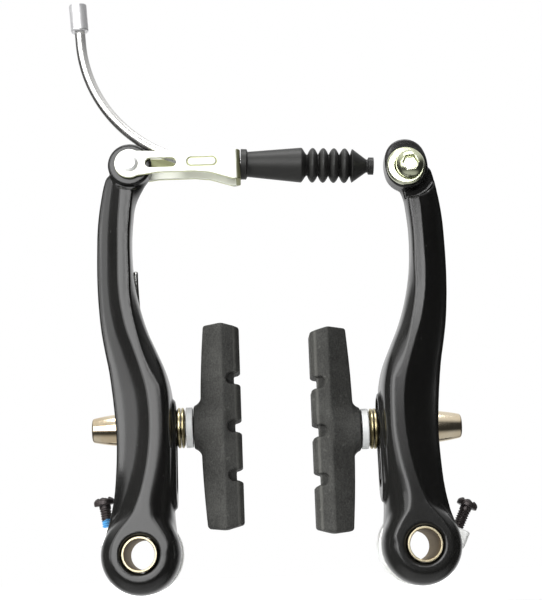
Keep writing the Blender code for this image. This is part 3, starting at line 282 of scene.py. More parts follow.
# %% Cast spacer, black oxide, blue thread lock, white liner
def clouded(name, metallic, tones, cloud, fine, rough, swing, depth, strength, uniform=None):
    """Two tones in clouds. A second noise gives the roughness its swing and the bump its depth."""
    coat = Finish(name, metallic, uniform)
    grit = coat.noise(*fine)
    colour = coat.mix(coat.noise(*cloud), *tones)
    return coat.finish(colour, rough + swing * grit, grit, depth, strength)


SPACER_GREY = clouded(
    "spacer_grey", 0.2, ((0.50, 0.51, 0.51), (0.66, 0.67, 0.66)), (420.0, 4.0), (2600.0, 2.0),
    0.5, 0.15, 0.00003, 0.5,
)
BLACK_OXIDE = clouded(
    "black_oxide", 0.55, ((0.030, 0.025, 0.025), (0.056, 0.047, 0.046)), (900.0,), (900.0,),
    0.3, 0.12, 0.00001, 0.5,
)
THREAD_LOCK = clouded(
    "thread_lock_blue", 0.0, ((0.02, 0.12, 0.30), (0.06, 0.27, 0.50)), (900.0,), (900.0,),
    0.35, 0.2, 0.00003, 1.0, {"Coat Weight": 0.3},
)
plastic = Finish("liner_white")
LINER_WHITE = plastic.finish((0.82, 0.82, 0.80), 0.35 + 0.1 * plastic.noise(700.0))

# %% Pad and boot rubber
def pad_rubber():
    """Moulded rubber, fine streaks, pale dust, painted shade past the ridge, painted chamfer
    highlight.
    """
    soft = Finish("pad_rubber", 0.0, {"Specular IOR Level": 0.22})
    x, _, _ = soft.split(soft.place)
    beyond_ridge_painted_shade = 1.0 - abs(x).ease(14.55 * MM, 14.95 * MM)
    corner = 1.0 - abs(abs(x) - 11.2 * MM).ease(0.1 * MM, 0.6 * MM)
    cloud = soft.noise(110.0, 4.0, 0.6)
    streak = soft.grain((2600, 2600, 1000), 5.0, 0.7)
    grit = soft.noise(2300.0, 3.0, 0.6)
    dust = soft.noise(700.0, 5.0, 0.7).ease(0.56, 0.72)
    blotch = 0.35 * cloud.ease(0.3, 0.7) + 0.3 * streak.ease(0.36, 0.64)
    blotch = blotch + 0.35 * grit.ease(0.3, 0.7)
    colour = soft.mix(blotch, (0.013, 0.013, 0.012), (0.054, 0.054, 0.050))
    # The band beyond the ridge is darkened: painted shade.
    colour = soft.mix(beyond_ridge_painted_shade * 0.15, colour, (0.014, 0.014, 0.013))
    colour = soft.mix(dust * 0.3, colour, (0.12, 0.12, 0.11))
    # A lighter line along the chamfer edge: painted highlight.
    colour = soft.mix(corner * (0.2 + 0.3 * streak), colour, (0.11, 0.11, 0.10))
    roughness = 0.55 + 0.12 * grit + 0.08 * streak
    return soft.finish(colour, roughness, 0.5 * grit + 0.5 * streak, 0.00012, 0.85)


def boot_rubber():
    soft = Finish("boot_rubber", 0.0, {"Specular IOR Level": 0.4})
    grit = soft.noise(1100.0, 4.0, 0.65)
    blotch = 0.45 * soft.noise(60.0) + 0.55 * grit
    colour = soft.mix(blotch, (0.010, 0.010, 0.009), (0.020, 0.020, 0.019))
    return soft.finish(colour, 0.40 + 0.14 * grit, grit, 0.00004, 0.7)


PAD_RUBBER = pad_rubber()
BOOT_RUBBER = boot_rubber()
print("finishes:", sorted(material.name for material in bpy.data.materials))

# %% [markdown]
# ## A mesh from a rule
# A forged arm has no flat faces to extrude: everything flows into everything else. So the arm and
# the pad are written as a distance rule, negative inside and positive outside. Two shapes join or
# cut with a rounded edge by one short formula. The zero level becomes a mesh by putting one point
# in each grid cell that the surface crosses, joining neighbours, and sliding the points onto it.

# %% Joins and cuts with a rounded edge
def keep_both(a, b, radius):
    """Intersection with a round outer edge."""
    over = np.hypot(np.maximum(radius + a, 0.0), np.maximum(radius + b, 0.0))
    return np.minimum(-radius, np.maximum(a, b)) + over


def fuse(a, b, radius):
    """Union with a round inner fillet."""
    under = np.hypot(np.maximum(radius - a, 0.0), np.maximum(radius - b, 0.0))
    return np.maximum(radius, np.minimum(a, b)) - under


def carve(a, b, radius):
    """The first shape without the second."""
    return keep_both(a, -b, radius)


# %% Surface of a rule
def slide_onto(rule, points, step, rounds=4):
    """Moves points along the rule's slope until they lie on its zero level."""
    longest_move = 2.8 * step
    for _ in range(rounds):
        value = rule(points)
        slope = np.empty_like(points)
        for axis, shift in enumerate(step * np.eye(3)):
            slope[:, axis] = (rule(points + shift) - rule(points - shift)) / (2 * step)
        size = np.maximum((slope ** 2).sum(1), 0.05)
        move = slope * (value / size)[:, None]
        length = np.linalg.norm(move, axis=1)
        move *= np.minimum(1.0, longest_move / np.maximum(length, 1e-9))[:, None]
        points = points - move
    return points


def mesh_of_rule(name, rule, box, cell, finish):
    """A closed mesh of the rule's zero level inside a box. All in millimetres."""
    low, high = (np.array(corner, float) for corner in box)
    counts = np.ceil((high - low) / cell).astype(int) + 1
    axes = [low[i] + cell * np.arange(counts[i]) for i in range(3)]
    y, z = np.meshgrid(axes[1], axes[2], indexing="ij")
    field = np.empty(counts)
    for i, x in enumerate(axes[0]):
        layer = np.stack([np.full(y.size, x), y.ravel(), z.ravel()], 1)
        field[i] = rule(layer).reshape(y.shape)
    inside = field < 0

    # One point for each crossed cell, at the middle of its crossed edges.
    corners = [(i, j, k) for i in (0, 1) for j in (0, 1) for k in (0, 1)]
    shape = tuple(counts - 1)
    total = np.zeros(shape, int)
    for i, j, k in corners:
        total += inside[i:i + shape[0], j:j + shape[1], k:k + shape[2]]
    mixed = (total > 0) & (total < 8)
    number = -np.ones(shape, int)
    number[mixed] = np.arange(mixed.sum())
    cells = np.argwhere(mixed)
    sums = np.zeros((len(cells), 3))
    hits = np.zeros(len(cells))
    steps = np.eye(3, dtype=int)
    for axis, step in enumerate(steps):
        for start in corners:
            if start[axis]:
                continue
            a = cells + np.array(start)
            va, vb = field[tuple(a.T)], field[tuple((a + step).T)]
            crossed = (va < 0) != (vb < 0)
            share = np.where(crossed, va / np.where(crossed, va - vb, 1.0), 0.0)
            sums += np.where(crossed[:, None], a + share[:, None] * step, 0.0)
            hits += crossed
    points = slide_onto(rule, low + cell * sums / hits[:, None], cell * 0.25)

    # One face for each crossed edge of the grid, turned to face outwards.
    quads = []
    for axis in range(3):
        one, two = [other for other in range(3) if other != axis]
        a = np.argwhere(np.diff(inside.astype(np.int8), axis=axis) != 0)
        for other in (one, two):
            a = a[(a[:, other] > 0) & (a[:, other] < shape[other])]
        starts = inside[tuple(a.T)]
        around = [a - steps[one] - steps[two], a - steps[two], a, a - steps[one]]
        ids = np.stack([number[tuple(c.T)] for c in around], 1)
        flip = starts if axis != 1 else ~starts
        quads.append(np.where(flip[:, None], ids, ids[:, ::-1]))

    mesh = bpy.data.meshes.new(name)
    mesh.from_pydata((points * MM).tolist(), [], np.concatenate(quads).tolist())
    mesh.validate()
    mesh.materials.append(finish)
    mesh.shade_smooth()
    print(name, "has", len(mesh.polygons), "faces")
    return put(name, mesh)


# %% A box on one side, and a piece in its node's place
def side_box(sign, near, far, low, high):
    """Grid corners: x from near to far outwards, then the lowest and highest y and z."""
    low_x, high_x = sorted((sign * near, sign * far))
    return (low_x, *low), (high_x, *high)


def stand_in_for(piece, node, body):
    """The piece replaces a CAD node and rides on its body."""
    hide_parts(node)
    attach(piece, body)
    print(piece.name, "stands in for", node, "on", body)


# %% [markdown]
# ## The arms
# The arm is a crest on a scooped blade. The table gives the blade across from the pivot at
# seventeen heights, as shares of the height to the head: outer and inner edge, the crest's middle
# and half width, and the depth of the blade's edges. Between the rows a smooth curve reads it. A
# smooth curve would bulge where the back leaves its flat lower part, so the back is read along
# straight stretches, and a short moving average eases their corners.

# %% The blade's table
HEAD_UP = 107.5
ARM_BACK = -6.6
CREST_FACE = -24.3
BLADE = np.array([
    (0.025, 9.7, -9.7, 0.0, 6.1, -15.8),
    (0.060, 9.2, -9.3, 0.1, 4.3, -16.3),
    (0.095, 8.2, -9.0, 0.0, 2.3, -17.2),
    (0.140, 7.1, -9.0, -0.8, 1.0, -18.6),
    (0.205, 6.3, -9.1, -2.4, 0.55, -19.9),
    (0.280, 6.0, -9.3, -3.6, 0.5, -20.3),
    (0.350, 6.4, -9.2, -3.8, 0.5, -20.4),
    (0.415, 7.1, -8.8, -3.1, 0.6, -20.4),
    (0.465, 7.8, -7.5, -1.8, 0.8, -20.5),
    (0.515, 8.8, -5.3, -0.3, 1.1, -20.6),
    (0.560, 9.6, -3.2, 1.0, 1.5, -20.7),
    (0.640, 10.4, -0.6, 2.6, 1.7, -20.8),
    (0.770, 10.6, 1.0, 2.7, 2.0, -20.9),
    (0.850, 10.2, 0.6, 2.5, 2.0, -21.0),
    (0.905, 9.4, -0.4, 2.1, 1.9, -21.2),
    (0.960, 8.1, -3.4, 1.5, 2.0, -21.6),
    (0.985, 7.2, -4.8, 1.2, 2.2, -21.8),
])
BACK = np.array([
    (0.0, 0.06), (0.44, 0.06), (0.52, 2.6), (0.60, 5.6), (0.70, 7.9), (0.85, 9.6), (0.94, 10.7),
    (1.0, 10.8),
])
BACK_EASING = 30


def back_at(share):
    """How deep the arm's back lies in front of the knuckle's, at a share of the height."""
    return np.interp(share, BACK[:, 0], BACK[:, 1])


def smooth_read(rows, column, places):
    """A smooth curve through one column of a table, with gentle slopes at each row."""
    x, y = rows[:, 0], rows[:, column]
    slopes = np.gradient(y, x)
    i = np.clip(np.searchsorted(x, places) - 1, 0, len(x) - 2)
    width = x[i + 1] - x[i]
    t = np.clip((places - x[i]) / width, 0.0, 1.0)
    t2, t3 = t * t, t * t * t
    return (
        (2 * t3 - 3 * t2 + 1) * y[i] + (t3 - 2 * t2 + t) * width * slopes[i]
        + (3 * t2 - 2 * t3) * y[i + 1] + (t3 - t2) * width * slopes[i + 1]
    )


heights = np.linspace(0.0, 1.0, 2401)
columns = ("outer", "inner", "crest", "half", "edge")
curves = {name: smooth_read(BLADE, i, heights) for i, name in enumerate(columns, start=1)}
window = 2 * BACK_EASING + 1
padded_back = np.pad(back_at(heights), BACK_EASING, mode="edge")
curves["back"] = ARM_BACK - np.convolve(padded_back, np.ones(window) / window, mode="valid")
print("blade curves:", sorted(curves))


# %% The blade's rule
SCOOP = 2.4


def blade_rule(u, y, z):
    """Distance to the blade. u is across, away from the pivot towards the outside."""
    share = np.clip(z / HEAD_UP, 0.0, 1.0)
    at = {name: np.interp(share, heights, curve) for name, curve in curves.items()}

    # How far a point lies from the crest towards the edge, 0 to 1.
    offset = u - at["crest"]
    outside = offset > 0
    half = np.maximum(at["half"] - 0.2, 0.15)
    beyond = np.abs(offset) - half
    beyond = 0.5 * (beyond + np.sqrt(beyond ** 2 + 0.03))
    width = np.where(outside, at["outer"] - at["crest"], at["crest"] - at["inner"]) - half
    width = np.maximum(width, 1.2)
    t = np.clip(beyond / width, 0.0, 1.0)

    # Outside the crest the face is scooped. Inside it rolls over, and runs straight higher up.
    top = CREST_FACE - 0.3
    fall = np.where(outside, at["edge"], at["edge"] + 1.2) - top
    scooped = 1.0 - (1.0 - t) ** SCOOP
    power = 3.0 + 3.0 * np.clip((share - 0.13) / 0.15, 0.0, 1.0)
    rolled = 0.10 * t + 0.90 * t ** power
    blend = np.clip((share - 0.42) / 0.2, 0.0, 1.0)
    bend = np.where(outside, scooped, rolled * (1.0 - blend) + t * blend)
    depth = top + fall * bend

    # The height above a sloping face becomes a distance through the slope.
    steep_out = SCOOP * (1.0 - t) ** (SCOOP - 1.0)
    steep_in = (0.10 + 0.90 * power * t ** (power - 1.0)) * (1.0 - blend) + blend
    steep = fall / width * np.where(outside, steep_out, steep_in)
    front = (depth - y) / np.sqrt(1.0 + steep ** 2)
    sides = np.maximum(u - at["outer"], at["inner"] - u)
    body = keep_both(front, sides, 0.8)
    body = keep_both(body, y - at["back"], 1.1)
    return keep_both(body, np.maximum(z - 106.0, 0.5 - z), 2.5)


# %% Knuckle, drum and slot rules
KNUCKLE = 10.9
KNUCKLE_FACE = -24.4
KNUCKLE_DRAFT = 0.08
RING, DOME_WIDE = 6.9, 4.0
DOME_FOOT, DOME_DEEP = -16.6, 7.8
HEAD_FACE, HEAD_BACK = -23.6, -17.2


def knuckle_rule(u, y, z):
    """A drum round the pivot whose front edge is a deep dome."""
    across = np.hypot(u, z)
    p = np.maximum((across - RING) / DOME_WIDE, 0.0)
    q = np.maximum((DOME_FOOT - y) / DOME_DEEP, 0.0)
    s = np.maximum(np.hypot(p, q), 1e-6)
    slope = np.maximum(np.hypot(p / DOME_WIDE, q / DOME_DEEP) / s, 1e-6)
    wall = across - KNUCKLE + KNUCKLE_DRAFT * np.maximum(y - DOME_FOOT, 0.0)
    dome = np.where((p > 0) & (q > 0), (s - 1.0) / slope, np.maximum(wall, KNUCKLE_FACE - y))
    return keep_both(dome, y - ARM_BACK, 2.0)


def drum(u, y, z, middle, radius):
    """The round head, from its face to its back."""
    across = np.hypot(u - middle[0], z - middle[1]) - radius
    return keep_both(across, np.maximum(HEAD_FACE - y, y - HEAD_BACK), 0.8)


def stadium(y, z, middle, half_width, half_length):
    """A long hole with round ends, seen along x."""
    straight = half_length - half_width
    beyond = np.maximum(np.abs(z - middle[1]) - straight, 0.0)
    return np.hypot(y - middle[0], beyond) - half_width


# %% Places on the arms, and what differs between the two
CLAMP_UP = 104.4
POST_Y = -13.0
SLOT = (POST_Y, 28.5)
SEAT = (POST_Y, 27.0)
STUD_BORE = 4.95
HEADS = {
    "left": [((0.9, HEAD_UP), 6.1)],
    "right": [((0.5, 107.0), 5.7), ((0.9, CLAMP_UP), 5.9)],
}
EYES = {"left": ((0.9, HEAD_UP), 2.05), "right": ((0.9, CLAMP_UP), 2.8)}
SINKS = {
    "left": {"up": 107.5, "radius": 6.9, "floor": 23.4, "lean": 0.0, "drop": 0.105},
    "right": {"up": 104.4, "radius": 8.6, "floor": 22.2, "lean": 0.09, "drop": 0.15},
}


# %% The whole arm
def arm_rule(side):
    sink = SINKS[side]

    def rule(points):
        u = SIDES[side] * points[:, 0] - PIVOT
        y, z = points[:, 1], points[:, 2]
        wider = np.where(u > 0, 1.6, 0.8) * np.clip((-y - 14.5) / 5.0, 0.0, 1.0)
        fillet = np.clip((-6.9 - y) / 3.0, 0.02, 1.0) + wider
        body = fuse(blade_rule(u, y, z), knuckle_rule(u, y, z), fillet)
        body = keep_both(body, CREST_FACE - y, 0.18)
        scoop = np.hypot(u - 0.9, z - sink["up"]) - sink["radius"]
        tilted = y + sink["floor"] + sink["drop"] * (z - sink["up"]) - sink["lean"] * u
        body = carve(body, keep_both(scoop, tilted, 0.5), 0.45)
        head, *rest = [drum(u, y, z, middle, radius) for middle, radius in HEADS[side]]
        for other in rest:
            head = fuse(head, other, 1.0)
        body = fuse(body, head, 0.4)
        seat = stadium(y, z, SEAT, 5.2, 14.8)
        seat = keep_both(seat, np.maximum(-9.9 - u, u + 5.9), 0.45)
        body = fuse(body, seat, 1.5)

        bore = np.hypot(u, z) - STUD_BORE
        rim = np.hypot(u, z) - 5.0 - np.maximum(CREST_FACE + 0.55 - y, -0.2)
        body = carve(carve(body, bore, 0.12), rim * 0.7071, 0.1)
        body = carve(body, stadium(y, z, SLOT, 3.3, 12.3), 0.35)
        pocket_half = 5.75 - 0.8 * np.clip((u - 4.3) / 0.6, 0.0, 1.0)
        pocket = stadium(y, z, SLOT, pocket_half, 14.85)
        behind = keep_both(POST_Y - y, np.abs(z - SLOT[1]) - 15.0, 0.1)
        pocket = keep_both(np.minimum(pocket, behind), 1.6 - u, 0.3)
        body = carve(body, pocket, 0.35)
        middle, radius = EYES[side]
        return carve(body, np.hypot(u - middle[0], z - middle[1]) - radius, 0.2)

    return rule


ARM_CELL = 0.42
for side, sign in SIDES.items():
    box = side_box(sign, 26.5, 50.5, (-25.6, -12.0), (-5.4, 115.0))
    arm = mesh_of_rule(side + "_forged_arm", arm_rule(side), box, ARM_CELL, ARM_BLACK)
    stand_in_for(arm, side + "_arm", side + "_arm_body")

# %% [markdown]
# ## The pads
# A moulded rubber block: a narrow friction face with chamfered edges, a ridge half way back, a
# gently bulged back that flows into a round boss, and three grooves that flare at the mouth and
# end in a rounded pocket on each side. The same kind of rule makes it in one piece.

# %% The pad's rule
PAD_UP = {"left": 34.3, "right": 32.3}
GROOVE_STEP = 13.3


def slope_plane(a, b, start, end):
    """Distance beyond the line between two points, on its left side."""
    along_a, along_b = end[0] - start[0], end[1] - start[1]
    length = np.hypot(along_a, along_b)
    return ((a - start[0]) * along_b - (b - start[1]) * along_a) / length


def pad_rule(sign, middle):
    def rule(points):
        u = sign * points[:, 0]
        v = np.abs(points[:, 1] - POST_Y)
        w = points[:, 2] - middle
        far = np.abs(w)
        back = u - (21.0 - 1.2 * np.clip((far - 6.0) / 22.0, 0.0, 1.0) ** 1.6)
        body = keep_both(9.8 - u, back, 0.5)
        face_side = slope_plane(v, u, (5.45, 10.9), (6.3, 14.8))
        chamfer = slope_plane(v, u, (4.25, 9.8), (5.45, 11.1))
        back_side = slope_plane(v, u, (6.3, 14.8), (3.7, 21.0))
        sides = keep_both(keep_both(face_side, chamfer, 0.12), back_side, 0.15)
        body = keep_both(body, sides, 0.35)
        end_face = slope_plane(far, u, (27.1, 9.8), (28.4, 14.8))
        end_back = slope_plane(far, u, (28.4, 14.8), (27.9, 19.8))
        body = keep_both(body, keep_both(end_face, end_back, 0.3), 0.7)
        boss = keep_both(np.hypot(v, w) - 5.9, np.maximum(15.0 - u, u - 23.0), 0.5)
        body = fuse(body, boss, 2.6)
        for k in (-1, 0, 1):
            high = w + 0.5 - GROOVE_STEP * k
            wall = (np.abs(high) - 1.45 - 0.55 * np.maximum(11.0 - u, 0.0)) * 0.9
            groove = keep_both(wall, u - 11.6, 0.35)
            pocket = np.hypot(high, np.maximum(u - 12.1, 0.0)) - 1.7
            pocket = keep_both(pocket, 3.7 - v, 0.4)
            body = carve(body, np.minimum(groove, pocket), 0.22)
        return body

    return rule


PAD_CELL = 0.3
for side, sign in SIDES.items():
    middle = PAD_UP[side]
    box = side_box(sign, 9.0, 23.6, (-20.3, middle - 29.4), (-5.7, middle + 29.4))
    pad = mesh_of_rule(side + "_moulded_pad", pad_rule(sign, middle), box, PAD_CELL, PAD_RUBBER)
    stand_in_for(pad, side + "_pad", side + "_pad_body")

# %% [markdown]
# ## Turned pieces
# Washers, spacers and bushings are turned or pressed: a profile goes round an axis. Real
# metal has no razor edge, so each profile corner is first rounded a little, and the straight runs
# keep a point close to each rounding so that flat faces stay flat in the light.

# %% Round the corners of a profile
def soften(profile, radius, closed=True, steps=3):
    """Profile points are (radius, height). Each corner becomes a short arc."""
    points = [np.array(p, float) for p in profile]
    found = []
    for i, corner in enumerate(points):
        if not closed and i in (0, len(points) - 1):
            found.append(corner)
            continue
        before = points[i - 1] - corner
        after = points[(i + 1) % len(points)] - corner
        long_a, long_b = np.linalg.norm(before), np.linalg.norm(after)
        before, after = before / long_a, after / long_b
        bend = np.arccos(np.clip(before @ after, -1.0, 1.0))
        if bend > radians(172.0):
            found.append(corner)
            continue
        cut_back = min(radius / np.tan(bend / 2), 0.42 * long_a, 0.42 * long_b)
        start, end = corner + before * cut_back, corner + after * cut_back
        guard = 0.12 * cut_back
        found.append(start + before * guard)
        for t in np.arange(steps + 1) / steps:
            found.append((1 - t) ** 2 * start + 2 * t * (1 - t) * corner + t ** 2 * end)
        found.append(end + after * guard)
    return found


# %% Turn a profile round an axis
def shade(mesh, angle):
    """Smooth faces, with sharp edges where the surface turns by more than the angle."""
    mesh.shade_smooth()
    mesh.set_sharp_from_angle(angle=radians(angle))


def from_bmesh(name, body, finishes):
    mesh = bpy.data.meshes.new(name)
    body.to_mesh(mesh)
    body.free()
    for finish in finishes:
        mesh.materials.append(finish)
    return put(name, mesh)


def turned(name, profile, base, axis, finish, segments=64, closed=True):
    """A closed ring profile, or an open one that starts and ends on the axis."""
    axis = Vector(axis).normalized()
    across = axis.orthogonal().normalized()
    third = axis.cross(across)
    base = Vector(base)
    body = bmesh.new()
    rings = []
    for radius, height in profile:
        if radius < 1e-6:
            rings.append([body.verts.new((base + axis * height) * MM)])
            continue
        ring = []
        for k in range(segments):
            angle = 2 * pi * k / segments
            way = across * cos(angle) + third * sin(angle)
            ring.append(body.verts.new((base + way * radius + axis * height) * MM))
        rings.append(ring)
    for first, second in zip(rings, rings[1:] + ([rings[0]] if closed else [])):
        if len(first) == len(second) == 1:
            continue
        for k in range(segments):
            j = (k + 1) % segments
            spots = [first[k % len(first)], first[j % len(first)],
                     second[j % len(second)], second[k % len(second)]]
            body.faces.new(list(dict.fromkeys(spots)))
    bmesh.ops.recalc_face_normals(body, faces=body.faces)
    made = from_bmesh(name, body, [finish])
    shade(made.data, 40.0)
    return made


# %% Bushings, washers and spacers
WASHER, HOLE, ROUNDED = 5.6, 3.3, 0.9
DOME_THICK, CUP_THICK = 1.1, 0.9
SPACER_THICK, SPACER_X = 1.9, 23.3
dome = [(HOLE, 0.0), (WASHER, 0.0), (WASHER, 0.62), (WASHER - ROUNDED, DOME_THICK),
        (HOLE, DOME_THICK)]
cup = [(HOLE, 0.0), (WASHER - ROUNDED, 0.0), (WASHER, 0.36), (WASHER, CUP_THICK),
       (HOLE, CUP_THICK)]
washers = (
    ("inner_dome_washer", dome, 27.8 - DOME_THICK),
    ("inner_cup_washer", cup, 26.4 - CUP_THICK),
    ("outer_cup_washer", [(r, DOME_THICK / CUP_THICK * h) for r, h in cup], 39.9),
    ("outer_dome_washer", [(r, CUP_THICK / DOME_THICK * h) for r, h in dome], 41.3),
)
sleeve = [(4.1, 0.0), (4.75, 0.0), (4.75, 25.0), (4.1, 25.0)]
collar = [(HOLE, 0.0), (WASHER, 0.0), (WASHER, SPACER_THICK), (HOLE, SPACER_THICK)]
for side, sign in SIDES.items():
    stud = (sign * PIVOT, 0.0, 0.0)
    bushing = turned(side + "_turned_bushing", soften(sleeve, 0.16), stud, FORWARD, BRASS, 72)
    stand_in_for(bushing, side + "_bushing", "frame_side")
    up = PAD_UP[side]
    out = (sign, 0.0, 0.0)
    for part, profile, start in washers:
        base = (sign * start, POST_Y, up)
        ring = turned(side + "_turned_" + part, soften(profile, 0.22), base, out, WASHER_GOLD)
        stand_in_for(ring, side + "_" + part, side + "_carrier")
    base = (sign * SPACER_X, POST_Y, up)
    spacer = turned(side + "_turned_spacer", soften(collar, 0.3), base, out, SPACER_GREY)
    stand_in_for(spacer, side + "_pad_spacer", side + "_pad_body")

# %% [markdown]
# ## Nuts, screws and the clamp bolt
# A socket or a cross recess breaks the roundness of a turned piece. These small ones are made by
# the same rule method as the arms, with a fine grid, so that every edge of the recess is soft.

# %% Rule helpers for sockets
def along_axis(points, base, axis):
    """Height along an axis, distance from it, and two across directions."""
    axis = np.array(axis, float)
    side_way = np.cross(axis, (0.0, 1.0, 0.0) if abs(axis[1]) < 0.9 else (1.0, 0.0, 0.0))
    third = np.cross(axis, side_way)
    off = points - np.array(base, float)
    a, b = off @ side_way, off @ third
    return off @ axis, np.hypot(a, b), a, b


def hexagon(a, b, flat):
    """Distance to a hexagonal bar, with half its size across flats."""
    reach = [np.abs(a * cos(k * pi / 3) + b * sin(k * pi / 3)) for k in range(3)]
    return np.maximum.reduce(reach) - flat


# %% Pad nuts
def nut_rule(base, axis):
    def rule(points):
        h, r, a, b = along_axis(points, base, axis)
        t = np.clip((h - 1.1) / 7.5, 0.0, 1.0)
        outline = 4.45 - 0.75 * t - 0.45 * t ** 2.2
        body = keep_both((r - outline) * 0.985, np.abs(h - 4.3) - 4.3, 0.55)
        body = carve(body, keep_both(hexagon(a, b, 2.0), 5.4 - h, 0.1), 0.18)
        return carve(body, keep_both(r - 3.3, h - 5.6, 0.1), 0.15)

    return rule


NUT_CELL = 0.22
for side, sign in SIDES.items():
    up = PAD_UP[side]
    box = side_box(sign, 42.0, 51.6, (POST_Y - 5.0, up - 5.0), (POST_Y + 5.0, up + 5.0))
    rule = nut_rule((sign * 42.5, POST_Y, up), (sign, 0.0, 0.0))
    nut = mesh_of_rule(side + "_tapered_nut", rule, box, NUT_CELL, CHAMPAGNE)
    stand_in_for(nut, side + "_pad_nut", side + "_pad_body")

# %% Clamp washer and bolt
washer_profile = [(3.2, 0.0), (5.4, 0.0), (5.4, 1.05), (4.9, 1.5), (3.2, 1.5)]
clamp_washer = turned(
    "pressed_clamp_washer", soften(washer_profile, 0.25), (38.45, -23.9, CLAMP_UP), FORWARD,
    YELLOW_ZINC, 72,
)
stand_in_for(clamp_washer, "cable_washer", "clamp_body")


def bolt_rule(points):
    h, r, a, b = along_axis(points, (39.3, -25.7, CLAMP_UP), FORWARD)
    crown = np.sqrt(np.maximum(r ** 2 + (np.maximum(h - 0.9, 0.0) * 1.45) ** 2, 1e-9)) - 3.9
    head = keep_both(crown * 0.85, np.maximum(-h, h - 3.3), 0.25)
    shank = keep_both(r - 2.35, np.maximum(-11.2 - h, h - 0.5), 0.3)
    body = fuse(head, shank, 0.1)
    return carve(body, keep_both(hexagon(a, b, 1.95), 1.3 - h, 0.1), 0.2)


bolt_box = ((34.7, -29.6, 100.0), (43.5, -14.0, 108.8))
clamp_bolt = mesh_of_rule("socket_clamp_bolt", bolt_rule, bolt_box, NUT_CELL, YELLOW_ZINC)
stand_in_for(clamp_bolt, "cable_bolt", "clamp_body")

# %% [markdown]
# ## Trees that make meshes
# Threads, springs, ribs and the bent guide tube are not modelled by hand: each follows a rule or
# a path, so a Geometry Nodes tree makes it. The same graph class builds the tree. Its group inputs
# carry the sizes by name, and the finished result is turned into a plain mesh.

# %% A Geometry Nodes tree with named sizes
class Recipe(Graph):
    def __init__(self, name, *sizes, **others):
        super().__init__(bpy.data.node_groups.new(name, "GeometryNodeTree"))
        sockets = self.tree.interface
        sockets.new_socket("Geometry", in_out="OUTPUT", socket_type="NodeSocketGeometry")
        kinds = {"Geometry": "Geometry", **dict.fromkeys(sizes, "Float"), **others,
                 "Finish": "Material"}
        self.keys = {}
        for label, kind in kinds.items():
            made = sockets.new_socket(label, in_out="INPUT", socket_type="NodeSocket" + kind)
            self.keys[label] = made.identifier
        self.source = self.tree.nodes.new("NodeGroupInput")
        self.result = self.tree.nodes.new("NodeGroupOutput")
        self.place = self.node("GeometryNodeInputPosition")

    def size(self, label):
        return Value(self, self.source.outputs[label])

    def vector(self, x, y, z):
        return self.node("ShaderNodeCombineXYZ", None, [x, y, z])

    def close(self, way, vector):
        """Moves the points, then ends as every tree does: instances realised, finish set."""
        sockets = {"Geometry": self.size("Geometry"), way: vector}
        moved = self.node("GeometryNodeSetPosition", None, sockets)
        real = self.node("GeometryNodeRealizeInstances", None, [moved])
        sockets = {"Geometry": real, "Material": self.size("Finish")}
        done = self.node("GeometryNodeSetMaterial", None, sockets)
        self.feed(self.result.inputs["Geometry"], done)
        return self


def cook(recipe, name, profile, segments, closed, values, angle):
    """Turns a profile round Z, runs a tree on it and keeps the result as a plain mesh."""
    raw = turned(name + "_raw", profile, (0.0, 0.0, 0.0), (0.0, 0.0, 1.0), None, segments, closed)
    step = raw.modifiers.new("recipe", "NODES")
    step.node_group = recipe.tree
    for label, value in values.items():
        step[recipe.keys[label]] = value
    evaluated = raw.evaluated_get(bpy.context.evaluated_depsgraph_get())
    mesh = bpy.data.meshes.new_from_object(evaluated)
    raw.modifiers.clear()
    bpy.data.objects.remove(raw)
    mesh.name = name
    shade(mesh, angle)
    print(name, "has", len(mesh.polygons), "faces")
    return put(name, mesh)


# %% Steps along a profile, a place along an axis, and one piece out of several
def evenly(first, last, count):
    """Profile points at equal steps from the first to the last."""
    return [tuple(a + (b - a) * k / count for a, b in zip(first, last)) for k in range(count + 1)]


def place_along(made, base, axis):
    """Moves a piece's mesh from the Z axis to its own axis. The object stays at the origin."""
    turn = Vector(axis).to_track_quat("Z", "Y").to_matrix().to_4x4()
    made.data.transform(Matrix.Translation(Vector(base) * MM) @ turn)


def unite(name, pieces):
    """Joins the meshes of several pieces into one object, keeping each one's finish."""
    finishes = []
    body = bmesh.new()
    for piece in pieces:
        finishes += [finish for finish in piece.data.materials if finish not in finishes]
        shift = [finishes.index(finish) for finish in piece.data.materials]
        for face in piece.data.polygons:
            face.material_index = shift[face.material_index]
        body.from_mesh(piece.data)
        bpy.data.objects.remove(piece)
    return from_bmesh(name, body, finishes)


# %% [markdown]
# ## Threaded rods
# A thread is one ridge that climbs round a rod. Every point on the rod's side asks for its angle
# and height: where height over pitch plus the turn passes a whole number, the ridge is highest.
# The tree pulls in the points between the ridges, and fades the thread out at both ends.

# %% The thread tree
def thread_tree():
    labels = ("Radius", "Depth", "Pitch", "Start", "End")
    tree = Recipe("cut_thread", *labels)
    rod, depth, pitch, start, end = (tree.size(label) for label in labels)
    x, y, z = tree.split(tree.place)
    radius = (x * x + y * y) ** 0.5
    phase = (z / pitch - y.maths("ARCTAN2", x) / (2 * pi)).maths("FRACT")
    flank = (1.0 - abs(phase * 2.0 - 1.0)).ease(0.12, 0.88)
    on_side = radius.ease(rod * 0.9, rod * 0.98)
    fade_in = z.ease(start, start + pitch * 0.6)
    fade_out = 1.0 - z.ease(end - pitch * 0.6, end)
    share = depth * (flank - 1.0) * on_side * fade_in * fade_out / (radius + 1e-7)
    return tree.close("Offset", tree.vector(x * share, y * share, 0.0))


CUT_THREAD = thread_tree()


